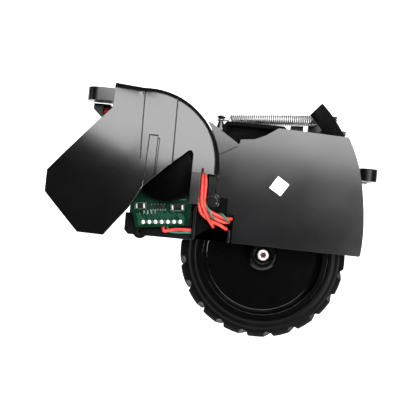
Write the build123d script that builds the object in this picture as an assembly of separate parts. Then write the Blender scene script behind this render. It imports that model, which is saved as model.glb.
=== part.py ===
from build123d import *
import math
import os

# Drive-wheel module of a robot vacuum: motor, gear train, wheel and spring suspension.
# X runs right and Z up as the wheel's outer side is seen, Y runs back, away from the viewer.
# Everything is drawn about the suspension pivot and moved at the end, so that the origin is
# the middle of the left screw ear's bore. Lengths are millimetres, angles degrees.
# An (a, b) pair is a place (X, Z) from the pivot, and a depth is a Y from the tyre's middle.

# Where the main axes lie
PIVOT_FROM_EAR = (53.0, -41.5)
MOTOR_AXIS = (-22.1, 9.7)
WHEEL_AXIS = (23.6, -20.6)

# Fits
RUN = 0.05            # radial clearance of what turns on or in something
SEAT = 0.02           # clearance of what is fixed in its seat
SIDE_GAP = 0.3        # side clearance between a turning piece and its neighbour
THROUGH = 1.0         # how far a cut runs past the face that it opens

# Tyre and hub
TYRE_RADIUS = 35.0
TYRE_WIDTH = 21.0
TYRE_WALL = 7.5
SHOULDER_DROP = 3.6
SHOULDER_DEPTH = 2.3
TYRE_BORE = TYRE_RADIUS - TYRE_WALL
SHOULDER_RADIUS = TYRE_RADIUS - SHOULDER_DROP
LUG_COUNT = 20
NOTCH_RADIUS = 1.7
NOTCH_DEPTH = 2.4
NOTCH_SLANT = 24.0
FIRST_NOTCH = -10.1
RIM_WALL = 2.2
HUB_RIB_COUNT = 8
HUB_RIB = 1.4
DISH_FLOOR = -5.0
DISH_THICKNESS = 1.8
HUB_BOSS_RADIUS = 5.2
HUB_FRONT = -11.0
AXLE_RADIUS = 2.5
AXLE_RECESS = 2.2
SCREW_HEAD_RADIUS = 2.8

# Gear train: one module for each stage, and the teeth of its driver and its driven gear
MODULES = (0.5, 0.6, 0.7, 0.8)
TOOTH_COUNT = ((12, 36), (12, 36), (14, 28), (13, 35))
PRESSURE_ANGLE = 20.0
BACKLASH = 0.2
GEAR_FACE = 2.5
GEAR_PITCH_Y = 3.0    # from one layer of gears to the next
FIRST_PIN_RADIUS = 1.0
THIRD_PIN_RADIUS = 1.25
GEAR_HUB_RADIUS = 2.7
OUTPUT_HUB_WALL = 2.4
OUTPUT_HOLE_REACH = 6.2
OUTPUT_HOLE_RADIUS = 2.1

# Gearbox
GEARBOX_FRONT = 12.0
GEARBOX_WALL = 2.0
GEARBOX_DEPTH = 14.0
COVER_THICKNESS = 2.0
MOTOR_END_RADIUS = 16.2
WHEEL_END_RADIUS = 17.4
SCREW_LUG = 3.2
GEARBOX_TOP = 33.6
PIVOT_SHAFT_RADIUS = 2.0
BUSH_WALL = 1.2
BEARING_RADIUS = 5.0
BEARING_WIDTH = 2.6

# Motor cradle, the box under and left of the motor
CRADLE_FRONT = -15.0
CRADLE_FLOOR = -17.0
CRADLE_LEFT = -35.3
CRADLE_WALL = 1.8
CRADLE_CORNER = 1.7
CRADLE_STEP = -8.0

# Motor, encoder board and cap
MOTOR_RADIUS = 12.2
MOTOR_WALL = 0.9
MOTOR_FRONT = -16.2
MAGNET_THICKNESS = 1.9
AIR_GAP = 0.4
MOTOR_SHAFT_RADIUS = 1.0
BOARD_THICKNESS = 1.4
BOARD_FRONT = -18.6
CAP_RADIUS = 12.5
CAP_OFFSET = (2.0, 0.4)
CAP_WALL = 1.0
CAP_FRONT = -21.9
PAD_COUNT = 7
PAD_PITCH = 2.54
PAD_RADIUS = 0.85

# Fender
FENDER_WALL_RADIUS = 61.8
FENDER_LIP = 1.1
FENDER_RADIUS = FENDER_WALL_RADIUS + FENDER_LIP
PLATE_FRONT = -14.5
PLATE_THICKNESS = 2.0
FENDER_WALL = 1.6
FENDER_WALL_TOP_ANGLE = 47.0
ARCH_GAP = 2.2
ARCH_WALL = 1.8
ARCH_ANGLES = (22.0, 158.0)
ARCH_TO_MOTOR = 0.8   # least clearance of the arch and its box round the motor
BOX_TOP = 34.0
BOX_WEB = -9.0
GUSSET_RISE = 1.3

# Hood and guard
HOOD_FRONT = -28.0
HOOD_WALL = 2.0
HOOD_EDGE = 3.5
HOOD_CORNER = (-43.4, 44.5)
HOOD_LOW = 10.5
HOOD_DOME = 150.0     # radius of the front, whose foremost place is HOOD_DOME_CENTRE
HOOD_DOME_CENTRE = (-36.0, 8.0)
HOOD_SHALLOW_BACK = -17.2
TONGUE_BACK = -22.4
HOOD_MIDDLE_BACK = 10.0
GUARD_RIB = 1.5
GUARD_RIB_DEPTH = 3.5

# Frame bracket behind the gearbox
BRACKET_GAP = 1.9
BRACKET_THICKNESS = 2.5
BRACKET_RIB = 1.6
LEFT_WINDOW = ((-38.5, 34.0), (-28.0, 35.0), (-20.0, 22.0), (-14.0, 10.0), (-20.0, 9.5), (-38.5, 26.5))
RIGHT_WINDOW = ((14.0, 12.5), (24.0, 20.0), (50.0, 27.0), (58.0, 24.0), (58.0, 17.5), (24.0, 7.5))

# Screw ears
EAR_RADIUS = 5.0
EAR_BORE = 1.9
EAR_TOP = 2.9
EAR_HEIGHT = 5.8
RIGHT_EAR_REACH = 8.3
RIGHT_EAR = (FENDER_WALL_RADIUS + RIGHT_EAR_REACH, 18.95)
RIGHT_EAR_DEPTH = 18.0
RIGHT_EAR_RADIUS = 4.2

# Spring
SPRING_DEPTH = 21.6
SPRING_RADIUS = 2.75
SPRING_WIRE = 0.75
SPRING_TURN_COUNT = 34
SPRING_GROOVE = 0.28
HOOK = (0.7, 38.2)
ANCHOR = (52.5, 43.0)
SPRING_BODY = (5.4, 46.4)
POST_RADIUS = 1.2

# Pivot
FRONT_PIN_RADIUS = 1.2
FRONT_PIN_BOSS = 3.2

# Leads
LEAD_RADIUS = 0.85
BUNDLE_RADIUS = 1.5

LEFT_EAR = (-PIVOT_FROM_EAR[0], -PIVOT_FROM_EAR[1])
TYRE_SIDE = TYRE_WIDTH / 2
GEARBOX_BACK = GEARBOX_FRONT + GEARBOX_DEPTH
COVER_FRONT = GEARBOX_BACK - COVER_THICKNESS
FENDER_WALL_FAR = SPRING_DEPTH - SPRING_RADIUS - 0.6
BRACKET_FRONT = GEARBOX_BACK + BRACKET_GAP
BRACKET_BACK = BRACKET_FRONT + BRACKET_THICKNESS
CLIP_NEAR = BRACKET_BACK + 1.65
CLIP_WIDTH = 0.5
CLIP_GROOVE = 0.4
LAYER = [GEARBOX_FRONT + GEARBOX_WALL + SIDE_GAP + index * GEAR_PITCH_Y for index in range(3)]


def save(node, shape):
    """Write one sub-part, moved so that the left ear's bore is the origin."""
    export_step(Pos(PIVOT_FROM_EAR[0], 0, PIVOT_FROM_EAR[1]) * shape, f"parts/{node}.step")


def slab(face, near, far):
    """A sketch drawn in (X, Z), extruded from one depth to another."""
    return extrude(Plane.XZ.offset(-far) * face, far - near, dir=(0, -1, 0))


def pillar(plan, low, high):
    """A sketch drawn in (X, Y), extruded upwards between two levels."""
    return Pos(0, 0, low) * extrude(plan, high - low, dir=(0, 0, 1))


def rod(centre, radius, near, far):
    """A round bar along Y."""
    return slab(Pos(*centre) * Circle(radius), near, far)


def ring(centre, outer, inner, near, far):
    """A round tube along Y."""
    return slab(Pos(*centre) * (Circle(outer) - Circle(inner)), near, far)


def block(low, high):
    """A box between two corners (X, Y, Z)."""
    size = [b - a for a, b in zip(low, high)]
    middle = [(a + b) / 2 for a, b in zip(low, high)]
    return Pos(*middle) * Box(*size)


def turned(centre, profile):
    """A body turned about a Y axis, from a profile of (radius, depth) corners."""
    face = Plane.XY * Polygon(*profile, align=None)
    return Pos(centre[0], 0, centre[1]) * revolve(face, Axis.Y)


def polar(radius, angle, centre=(0.0, 0.0)):
    """The place (X, Z) at a radius and angle from a centre."""
    turn = math.radians(angle)
    return (centre[0] + radius * math.cos(turn), centre[1] + radius * math.sin(turn))


def distance(a, b):
    """How far apart two places are."""
    return math.hypot(b[0] - a[0], b[1] - a[1])


def direction(a, b):
    """The angle of the line from one place to another."""
    return math.degrees(math.atan2(b[1] - a[1], b[0] - a[0]))


def meeting(a, radius_a, b, radius_b, side):
    """The place at two given distances from two others, on the side asked for."""
    gap = distance(a, b)
    along = (radius_a**2 - radius_b**2 + gap**2) / (2 * gap)
    across = side * math.sqrt(radius_a**2 - along**2)
    turn = math.radians(direction(a, b))
    x = a[0] + along * math.cos(turn) - across * math.sin(turn)
    z = a[1] + along * math.sin(turn) + across * math.cos(turn)
    return (x, z)


def sector(outer, inner, angles, centre=(0.0, 0.0)):
    """A flat arc of a ring, between two angles."""
    start, end = angles
    middle = (start + end) / 2
    outline = ThreePointArc(*[polar(outer, a, centre) for a in (start, middle, end)])
    outline += Line(polar(outer, end, centre), polar(inner, end, centre))
    outline += ThreePointArc(*[polar(inner, a, centre) for a in (end, middle, start)])
    outline += Line(polar(inner, start, centre), polar(outer, start, centre))
    return make_face(outline)


# Gears

def spacing(stage):
    """The distance between the two axes of a stage."""
    return MODULES[stage] * sum(TOOTH_COUNT[stage]) / 2


PIVOT = (0.0, 0.0)
FIRST_AXIS = meeting(MOTOR_AXIS, spacing(0), PIVOT, spacing(1), 1)
THIRD_AXIS = meeting(PIVOT, spacing(2), WHEEL_AXIS, spacing(3), 1)


def involute(angle):
    """The involute function of a pressure angle in radians."""
    return math.tan(angle) - angle


def tooth_half_angle(radius, pitch, base, teeth):
    """Half the angle that a tooth covers at a radius."""
    pressure = math.radians(PRESSURE_ANGLE)
    here = math.acos(min(1.0, base / max(radius, base)))
    at_pitch = math.pi / (2 * teeth) - BACKLASH / (4 * pitch)
    return at_pitch + involute(pressure) - involute(here)


def gear_face(module, teeth, phase):
    """The flat outline of a spur gear with one tooth's middle at the phase angle."""
    pitch = module * teeth / 2
    base = pitch * math.cos(math.radians(PRESSURE_ANGLE))
    root, tip = pitch - 1.25 * module, pitch + 0.92 * module
    waist = max(base, root + 0.2 * module)
    radii = [root, waist, (waist + tip) / 2 + 0.1 * module, tip]
    corners = []
    for tooth in range(teeth):
        middle = math.radians(phase) + 2 * math.pi * tooth / teeth
        half = [tooth_half_angle(radius, pitch, base, teeth) for radius in radii]
        flank = [(radius, -angle) for radius, angle in zip(radii, half)]
        flank += [(radius, angle) for radius, angle in zip(radii[::-1], half[::-1])]
        for radius, angle in flank:
            corners.append((radius * math.cos(middle + angle), radius * math.sin(middle + angle)))
    return Polygon(*corners, align=None)


def driven_phase(stage, driver_axis, driven_axis):
    """The phase of a driven gear whose gap faces its driver's tooth, with the driver at phase 0."""
    driver, driven = TOOTH_COUNT[stage]
    line = direction(driver_axis, driven_axis)
    return line + 180 + line * driver / driven + 180 / driven


def toothed(centre, stage, side, phase, layer):
    """The driver (side 0) or driven gear (side 1) of a stage, with no bore, in its layer."""
    face = gear_face(MODULES[stage], TOOTH_COUNT[stage][side], phase)
    return slab(Pos(*centre) * face, LAYER[layer], LAYER[layer] + GEAR_FACE)


def compound_gear(centre, driven, driver, pin_radius):
    """A driven gear and the next stage's driver, moulded on one hub that runs on a pin."""
    near, far = LAYER[0] - SIDE_GAP / 2, COVER_FRONT - SIDE_GAP / 2
    body = rod(centre, GEAR_HUB_RADIUS, near, far) + driven + driver
    return body - rod(centre, pin_radius + RUN, near - THROUGH, far + THROUGH)


def motor_pinion():
    body = toothed(MOTOR_AXIS, 0, 0, 0.0, 0)
    return body - rod(MOTOR_AXIS, MOTOR_SHAFT_RADIUS + SEAT, LAYER[0] - THROUGH, LAYER[1])


def first_gear():
    driven = toothed(FIRST_AXIS, 0, 1, driven_phase(0, MOTOR_AXIS, FIRST_AXIS), 0)
    return compound_gear(FIRST_AXIS, driven, toothed(FIRST_AXIS, 1, 0, 0.0, 1), FIRST_PIN_RADIUS)


def second_gear():
    driven = toothed(PIVOT, 1, 1, driven_phase(1, FIRST_AXIS, PIVOT), 1)
    return compound_gear(PIVOT, driven, toothed(PIVOT, 2, 0, 0.0, 2), PIVOT_SHAFT_RADIUS)


def third_gear():
    driven = toothed(THIRD_AXIS, 2, 1, driven_phase(2, PIVOT, THIRD_AXIS), 2)
    return compound_gear(THIRD_AXIS, driven, toothed(THIRD_AXIS, 3, 0, 0.0, 0), THIRD_PIN_RADIUS)


def output_gear():
    body = toothed(WHEEL_AXIS, 3, 1, driven_phase(3, THIRD_AXIS, WHEEL_AXIS), 0)
    body += rod(WHEEL_AXIS, AXLE_RADIUS + OUTPUT_HUB_WALL, LAYER[0], LAYER[2] + GEAR_FACE / 2)
    for index in range(6):
        hole = polar(AXLE_RADIUS + OUTPUT_HOLE_REACH, index * 60, WHEEL_AXIS)
        body -= rod(hole, OUTPUT_HOLE_RADIUS, LAYER[0] - THROUGH, LAYER[1])
    return body - rod(WHEEL_AXIS, AXLE_RADIUS + SEAT, LAYER[0] - THROUGH, COVER_FRONT)


# Wheel

def tyre():
    side, bead = TYRE_SIDE, 1.0
    profile = [
        (TYRE_BORE, -side + bead),
        (TYRE_BORE + bead, -side),
        (SHOULDER_RADIUS, -side),
        (TYRE_RADIUS, -side + SHOULDER_DEPTH),
        (TYRE_RADIUS, side - SHOULDER_DEPTH),
        (SHOULDER_RADIUS, side),
        (TYRE_BORE + bead, side),
        (TYRE_BORE, side - bead),
    ]
    body = turned(WHEEL_AXIS, profile)
    bar = TYRE_WIDTH / 2 / math.cos(math.radians(NOTCH_SLANT)) + 4
    radius = TYRE_RADIUS - NOTCH_DEPTH + NOTCH_RADIUS
    shift = math.degrees(TYRE_SIDE * math.tan(math.radians(NOTCH_SLANT)) / TYRE_RADIUS)
    cuts = []
    for lug in range(LUG_COUNT):
        angle = FIRST_NOTCH + shift + lug * 360 / LUG_COUNT
        x, z = polar(radius, angle, WHEEL_AXIS)
        for side_sign in (-1, 1):
            cutter = Cylinder(NOTCH_RADIUS, bar, align=(Align.CENTER, Align.CENTER, Align.MIN))
            lean = Rot(0, -angle, 0) * Rot(side_sign * (90 - NOTCH_SLANT), 0, 0)
            cuts.append(Pos(x, 0, z) * lean * cutter)
    return body - cuts


def wheel_hub():
    rim_outer, rim_inner = TYRE_BORE - SEAT, TYRE_BORE - RIM_WALL
    front, back = -TYRE_SIDE + 1.3, TYRE_SIDE - 1.0
    floor_back = DISH_FLOOR + DISH_THICKNESS
    boss_back = TYRE_SIDE
    profile = [
        (AXLE_RADIUS + SEAT, boss_back),
        (AXLE_RADIUS + SEAT, HUB_FRONT + AXLE_RECESS),
        (SCREW_HEAD_RADIUS + 0.7, HUB_FRONT + AXLE_RECESS),
        (SCREW_HEAD_RADIUS + 0.9, HUB_FRONT),
        (HUB_BOSS_RADIUS, HUB_FRONT),
        (HUB_BOSS_RADIUS + 0.5, DISH_FLOOR - 0.6),
        (HUB_BOSS_RADIUS + 1.6, DISH_FLOOR),
        (rim_inner - 1.6, DISH_FLOOR),
        (rim_inner - 0.4, DISH_FLOOR - 0.8),
        (rim_inner, front),
        (rim_outer, front),
        (rim_outer, back),
        (rim_inner + 0.6, back),
        (rim_inner - 0.6, floor_back),
        (HUB_BOSS_RADIUS + 1.0, floor_back),
        (HUB_BOSS_RADIUS + 0.6, boss_back),
    ]
    body = turned(WHEEL_AXIS, profile)
    reach, rib_back, root = rim_inner - HUB_BOSS_RADIUS, back - 1.5, 0.4
    rib = Box(reach + root, rib_back - floor_back + root, HUB_RIB)
    rib = Pos(HUB_BOSS_RADIUS + reach / 2, (floor_back + rib_back) / 2, 0) * rib
    for index in range(HUB_RIB_COUNT):
        turn = Rot(0, (index + 0.5) * 360 / HUB_RIB_COUNT, 0)
        body += Pos(WHEEL_AXIS[0], 0, WHEEL_AXIS[1]) * turn * rib
    return body


def wheel_axle():
    near, far = HUB_FRONT + AXLE_RECESS + 0.4, GEARBOX_BACK - 0.4
    body = rod(WHEEL_AXIS, AXLE_RADIUS, near, far)
    return body - rod(WHEEL_AXIS, 1.3 + SEAT, near - THROUGH, near + 8)


def axle_screw():
    seat = HUB_FRONT + AXLE_RECESS
    body = turned(
        WHEEL_AXIS,
        [(0, seat - 2.0), (SCREW_HEAD_RADIUS - 0.7, seat - 2.0), (SCREW_HEAD_RADIUS, seat - 1.3),
         (SCREW_HEAD_RADIUS, seat - SEAT), (1.3, seat - SEAT), (1.3, seat + 7.0), (0, seat + 7.0)],
    )
    socket = Circle(0.85)
    for index in range(6):
        socket += Pos(*polar(0.95, index * 60)) * Circle(0.42)
    return body - slab(Pos(*WHEEL_AXIS) * socket, seat - 3.0, seat - 0.9)


# Gearbox

def gearbox_outline():
    """The gearbox seen from the front: motor end, hook shoulder, sloping top and wheel end."""
    mx, mz = MOTOR_AXIS
    top_left = polar(MOTOR_END_RADIUS, 112, MOTOR_AXIS)
    motor_side = polar(MOTOR_END_RADIUS, 146, MOTOR_AXIS)
    right = polar(WHEEL_END_RADIUS, 12, WHEEL_AXIS)
    bottom = polar(WHEEL_END_RADIUS, -60, WHEEL_AXIS)
    left = polar(WHEEL_END_RADIUS, -140, WHEEL_AXIS)
    outline = Polyline((CRADLE_LEFT, CRADLE_FLOOR + CRADLE_CORNER), (mx - MOTOR_END_RADIUS, mz))
    outline += ThreePointArc((mx - MOTOR_END_RADIUS, mz), motor_side, top_left)
    outline += Polyline(
        top_left, (-6.0, GEARBOX_TOP - 1.6), (-4.0, GEARBOX_TOP), (3.4, GEARBOX_TOP),
        (29.0, 21.5), (36.5, 12.0), right,
    )
    outline += ThreePointArc(right, bottom, left)
    outline += Polyline(
        left, (-2.0, CRADLE_FLOOR), (CRADLE_LEFT + CRADLE_CORNER, CRADLE_FLOOR),
        (CRADLE_LEFT, CRADLE_FLOOR + CRADLE_CORNER),
    )
    return make_face(outline)


def screw_lug_places():
    """The two cover screws that stand outside the wall, round the wheel end."""
    return [polar(WHEEL_END_RADIUS + 0.6, angle, WHEEL_AXIS) for angle in (-68, -8)]


def cover_screw_places():
    """Where the gearbox cover's screws go."""
    inside = [
        (-32.6, -9.4), (-31.9, 18.6), (-6.8, 26.2), (0.0, 29.6), (32.4, 9.4), (2.6, -15.2), (-20.5, -12.8),
    ]
    return inside + screw_lug_places()


def flange_face():
    """The gearbox outline with its outer screw lugs."""
    face = gearbox_outline()
    for place in screw_lug_places():
        face += Pos(*place) * Circle(SCREW_LUG)
    return face


def hook_post():
    """The post on top of the gearbox that holds the spring's eye."""
    x, z = HOOK
    base = GEARBOX_TOP - 0.5
    face = Polygon(
        (0, base), (2.3, base), (1.4, z - 1.4), (POST_RADIUS, z - 0.7), (POST_RADIUS, z + 0.6),
        (1.9, z + 0.9), (2.1, z + 1.6), (1.3, z + 2.2), (0, z + 2.3), align=None,
    )
    return Pos(x, SPRING_DEPTH, 0) * revolve(Plane.XZ * face, Axis.Z)


def cradle():
    """The open box that wraps the motor and carries its loom."""
    floor, wall = CRADLE_FLOOR, CRADLE_WALL
    left, near = CRADLE_LEFT, CRADLE_FRONT
    right_free = WHEEL_AXIS[0] - TYRE_RADIUS - 2.8
    right_front = -7.4
    corner = CRADLE_CORNER
    side = make_face(Polyline(
        (left, 2.0), (left, floor + corner), (left + corner, floor), (right_free, floor),
        (right_free, floor + wall), (left + wall + 0.4, floor + wall), (left + wall, floor + wall + 0.4),
        (left + wall, 2.0), (left, 2.0),
    ))
    body = slab(side, near, GEARBOX_FRONT + 0.5)
    front = make_face(Polyline(
        (left, -4.0), (left, floor + corner), (left + corner, floor), (right_front, floor),
        (right_front, -5.6), (-10.5, -4.0), (left, -4.0),
    ))
    front -= Pos(*MOTOR_AXIS) * Circle(MOTOR_RADIUS + 0.8)
    body += slab(front, near, near + wall)
    body -= block((left - THROUGH, near - THROUGH, CRADLE_STEP), (-32.4, 0.0, 3.0))
    boss = (-28.7, floor + 1.5)
    body += rod(boss, 2.9, near, GEARBOX_FRONT + 0.5)
    body -= rod(boss, 0.9, near - THROUGH, near + 8)
    for x in (-24.0, -19.0):
        body += block((x, near + wall - 0.2, floor + wall - 0.2), (x + 1.2, GEARBOX_FRONT + 0.5, -4.6))
    return body


def gearbox_shell():
    inner = offset(gearbox_outline(), -GEARBOX_WALL, kind=Kind.INTERSECTION)
    body = slab(flange_face(), GEARBOX_FRONT, COVER_FRONT)
    body -= slab(inner, GEARBOX_FRONT + GEARBOX_WALL, COVER_FRONT + 1)
    body += cradle()
    body += hook_post()
    floor = GEARBOX_FRONT + GEARBOX_WALL
    for place in cover_screw_places():
        body += rod(place, 2.1, floor - 0.5, COVER_FRONT)
        body -= rod(place, 0.8, floor + 1, COVER_FRONT + 1)
    body -= rod(PIVOT, bush_seat(PIVOT_SHAFT_RADIUS), GEARBOX_FRONT - THROUGH, floor + 1)
    body += rod(WHEEL_AXIS, BEARING_RADIUS + 1.6, floor - BEARING_WIDTH - 0.4, floor)
    body -= rod(WHEEL_AXIS, BEARING_RADIUS + SEAT, floor - BEARING_WIDTH, floor + 1)
    body -= rod(WHEEL_AXIS, BEARING_RADIUS - 1.0, floor - 5, floor + 1)
    body -= rod(MOTOR_AXIS, 3.0 + SEAT, GEARBOX_FRONT - THROUGH, floor + 1)
    for place in motor_screw_places():
        body -= rod(place, 1.1, GEARBOX_FRONT - THROUGH, floor + 1)
        body -= rod(place, 1.9, floor - 1.2, floor + 1)
    for place in fender_screw_places():
        body -= rod(place, 1.0, GEARBOX_FRONT - THROUGH, floor + 1)
    for place, radius in ((FIRST_AXIS, FIRST_PIN_RADIUS), (THIRD_AXIS, THIRD_PIN_RADIUS)):
        body -= rod(place, radius + SEAT, floor - 1.4, floor + 1)
    return body


def gearbox_cover():
    body = slab(flange_face(), COVER_FRONT + SEAT, GEARBOX_BACK)
    body -= rod(PIVOT, bush_seat(PIVOT_SHAFT_RADIUS), COVER_FRONT - THROUGH, GEARBOX_BACK + THROUGH)
    body -= rod(WHEEL_AXIS, bush_seat(AXLE_RADIUS), COVER_FRONT - THROUGH, GEARBOX_BACK + THROUGH)
    for place, radius in ((FIRST_AXIS, FIRST_PIN_RADIUS), (THIRD_AXIS, THIRD_PIN_RADIUS)):
        body -= rod(place, radius + SEAT, COVER_FRONT - THROUGH, COVER_FRONT + 1.4)
    for place in cover_screw_places():
        body -= rod(place, 1.1, COVER_FRONT - THROUGH, GEARBOX_BACK + THROUGH)
        body -= rod(place, 2.1, GEARBOX_BACK - 0.9, GEARBOX_BACK + THROUGH)
    return body


def gearbox_screws():
    screws = []
    for place in cover_screw_places():
        head = rod(place, 1.95, GEARBOX_BACK - 0.9 + SEAT, GEARBOX_BACK - 0.05)
        head += rod(place, 0.78, GEARBOX_FRONT + GEARBOX_WALL + 1.4, GEARBOX_BACK - 0.8)
        cross = block((-1.1, 0, -0.18), (1.1, 0.5, 0.18)) + block((-0.18, 0, -1.1), (0.18, 0.5, 1.1))
        screws.append(head - Pos(place[0], GEARBOX_BACK - 0.45, place[1]) * cross)
    return Compound(children=screws)


def gear_pin(place, radius):
    near = GEARBOX_FRONT + GEARBOX_WALL - 1.3
    return rod(place, radius, near, COVER_FRONT + 1.3)


def axle_bearing():
    floor = GEARBOX_FRONT + GEARBOX_WALL
    near, far = floor - BEARING_WIDTH + SEAT, floor - SEAT
    bore = AXLE_RADIUS + RUN
    race = (BEARING_RADIUS + bore) / 2
    profile = [
        (bore, near), (race - 0.5, near), (race - 0.4, near + 0.25), (race + 0.4, near + 0.25),
        (race + 0.5, near), (BEARING_RADIUS, near), (BEARING_RADIUS, far), (race + 0.5, far),
        (race + 0.4, far - 0.25), (race - 0.4, far - 0.25), (race - 0.5, far), (bore, far),
    ]
    return turned(WHEEL_AXIS, profile)


def bush_seat(shaft):
    """The radius of the hole that a bush for a shaft is pressed into."""
    return shaft + RUN + BUSH_WALL + SEAT


def plain_bush(centre, shaft, near, far):
    return ring(centre, shaft + RUN + BUSH_WALL, shaft + RUN, near, far)


# Fender

def plate_face():
    """The fender's flat outer plate: arc on the right, concave relief on top, steps at the left."""
    top_right = polar(FENDER_RADIUS, 30.4)
    low_right = polar(FENDER_RADIUS, -14.6)
    middle = polar(FENDER_RADIUS, 8.0)
    bottom = -16.6
    outline = Polyline((9.4, 26.7), (15.3, 27.4), (19.6, 29.3), (24.8, 32.9), top_right)
    outline += ThreePointArc(top_right, middle, low_right)
    outline += Polyline(
        low_right, (low_right[0] - 0.4, bottom), (9.5, bottom), (9.5, -5.1), (6.4, -5.1),
        (6.4, 1.6), (1.4, 1.6), (0.4, 10.4), (1.7, 19.7), (8.8, 23.8), (9.4, 26.7),
    )
    return make_face(outline)


def front_block():
    """The arm's block round the front pivot pin, with its recess and ribs."""
    near, far = PLATE_FRONT + 0.6, PLATE_FRONT + PLATE_THICKNESS + 1.0
    face = make_face(Polyline(
        (-7.2, -16.6), (10.0, -16.6), (10.0, 2.2), (3.8, 4.4), (-3.8, 4.4), (-7.2, 1.0), (-7.2, -16.6)
    ))
    body = slab(face, near, far)
    body -= block((-3.5, near - THROUGH, -14.8), (7.6, near + 1.0, -6.0))
    body += block((-7.2, near - 4.2, -16.5), (-5.9, near + 0.2, -2.6))
    body += block((7.7, near - 1.4, -16.5), (8.7, near + 0.2, -11.6))
    return body + rod(PIVOT, FRONT_PIN_BOSS, near - 1.2, far)


def gusset():
    """The raised shoulder at the plate's upper left, which passes under the hood's edge."""
    near, far = PLATE_FRONT - GUSSET_RISE, PLATE_FRONT + PLATE_THICKNESS
    outer = [(-7.6, 10.6), (-8.4, 31.3), (-7.0, 32.3), (-5.0, 32.8), (-2.4, 32.0)]
    raised = Polygon(*outer, (8.3, 23.6), (1.7, 19.7), (0.4, 10.6), align=None)
    root = Polygon(*outer, (10.6, 23.6), (4.2, 18.7), (2.8, 10.6), align=None)
    return slab(raised, near, far - 0.5) + slab(root, PLATE_FRONT, far)


def box_outline():
    """The box over the wheel arch, seen from the front."""
    return make_face(Polyline(
        (-1.0, 14.0), (1.8, 32.4), (3.2, BOX_TOP), (27.4, BOX_TOP), (29.2, 32.0), (36.0, 12.0),
        (-1.0, 12.0), (-1.0, 14.0),
    ))


def wall_low_angle():
    """Where the curved wall ends, as low as the tyre lets it come, or the wheel's own angle if it clears."""
    inner, reach = FENDER_WALL_RADIUS - FENDER_WALL, TYRE_RADIUS + ARCH_GAP
    away = distance(PIVOT, WHEEL_AXIS)
    cosine = (inner**2 + away**2 - reach**2) / (2 * inner * away)
    opening = math.acos(min(1.0, cosine))
    return direction(PIVOT, WHEEL_AXIS) + math.degrees(opening) + 0.8


def wheel_fender():
    plate_back = PLATE_FRONT + PLATE_THICKNESS
    body = slab(plate_face(), PLATE_FRONT, plate_back)
    angles = (wall_low_angle(), FENDER_WALL_TOP_ANGLE)
    wall = sector(FENDER_WALL_RADIUS, FENDER_WALL_RADIUS - FENDER_WALL, angles)
    body += slab(wall, plate_back - 0.4, FENDER_WALL_FAR)
    arch_inner = TYRE_RADIUS + ARCH_GAP
    arch = sector(arch_inner + ARCH_WALL, arch_inner, ARCH_ANGLES, WHEEL_AXIS)
    back = GEARBOX_FRONT - SEAT
    body += slab(arch, plate_back - 0.4, back)
    over = box_outline() - offset(box_outline(), -FENDER_WALL, kind=Kind.INTERSECTION)
    over -= Pos(*WHEEL_AXIS) * Circle(arch_inner + ARCH_WALL / 2)
    body += slab(over, plate_back - 0.4, back)
    web = box_outline() - Pos(*WHEEL_AXIS) * Circle(arch_inner + ARCH_WALL / 2)
    body += slab(web, BOX_WEB, BOX_WEB + FENDER_WALL)
    body += front_block()
    body += gusset()
    for place, near, radius in zip(fender_screw_places(), (-11.0, plate_back - 0.4), (3.0, 2.4)):
        body += rod(place, radius, near, back)
        body -= rod(place, 0.8, back - 8.5, back + THROUGH)
    body -= rod(MOTOR_AXIS, MOTOR_RADIUS + ARCH_TO_MOTOR, plate_back, back + THROUGH)
    return body - rod(PIVOT, bush_seat(FRONT_PIN_RADIUS), PLATE_FRONT - 5, plate_back + 5)


def fender_screw_places():
    """The fender's two long bosses, which screws reach from inside the gearbox."""
    return [(6.9, 27.2), (25.0, 18.9)]


def fender_screws():
    floor = GEARBOX_FRONT + GEARBOX_WALL
    screws = []
    for place in fender_screw_places():
        head = rod(place, 1.9, floor + SEAT, floor + 1.1)
        screws.append(head + rod(place, 0.78, GEARBOX_FRONT - 8.0, floor + 0.4))
    return Compound(children=screws)


# Motor

def motor_screw_places():
    return [polar(8.0, angle, MOTOR_AXIS) for angle in (20, 200)]


def motor_can():
    back = GEARBOX_FRONT - SEAT
    body = rod(MOTOR_AXIS, MOTOR_RADIUS, MOTOR_FRONT, back)
    body -= rod(MOTOR_AXIS, MOTOR_RADIUS - MOTOR_WALL, MOTOR_FRONT - THROUGH, back - MOTOR_WALL)
    body += rod(MOTOR_AXIS, 3.0, back - 0.5, back + 1.6)
    for place in motor_screw_places():
        body -= rod(place, 0.9, back - 2, back + THROUGH)
    return body - rod(MOTOR_AXIS, MOTOR_SHAFT_RADIUS + RUN, back - 2, back + 3)


def motor_screws():
    floor = GEARBOX_FRONT + GEARBOX_WALL
    screws = []
    for place in motor_screw_places():
        head = rod(place, 1.75, floor - 1.2 + SEAT, floor - 0.1)
        screws.append(head + rod(place, 0.88, GEARBOX_FRONT - 1.4, floor - 0.6))
    return Compound(children=screws)


def motor_magnets():
    outer = MOTOR_RADIUS - MOTOR_WALL - SEAT
    pair = []
    for middle in (90, 270):
        face = sector(outer, outer - MAGNET_THICKNESS, (middle - 62, middle + 62), MOTOR_AXIS)
        pair.append(slab(face, MOTOR_FRONT + 6.5, GEARBOX_FRONT - 3.5))
    return Compound(children=pair)


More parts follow.
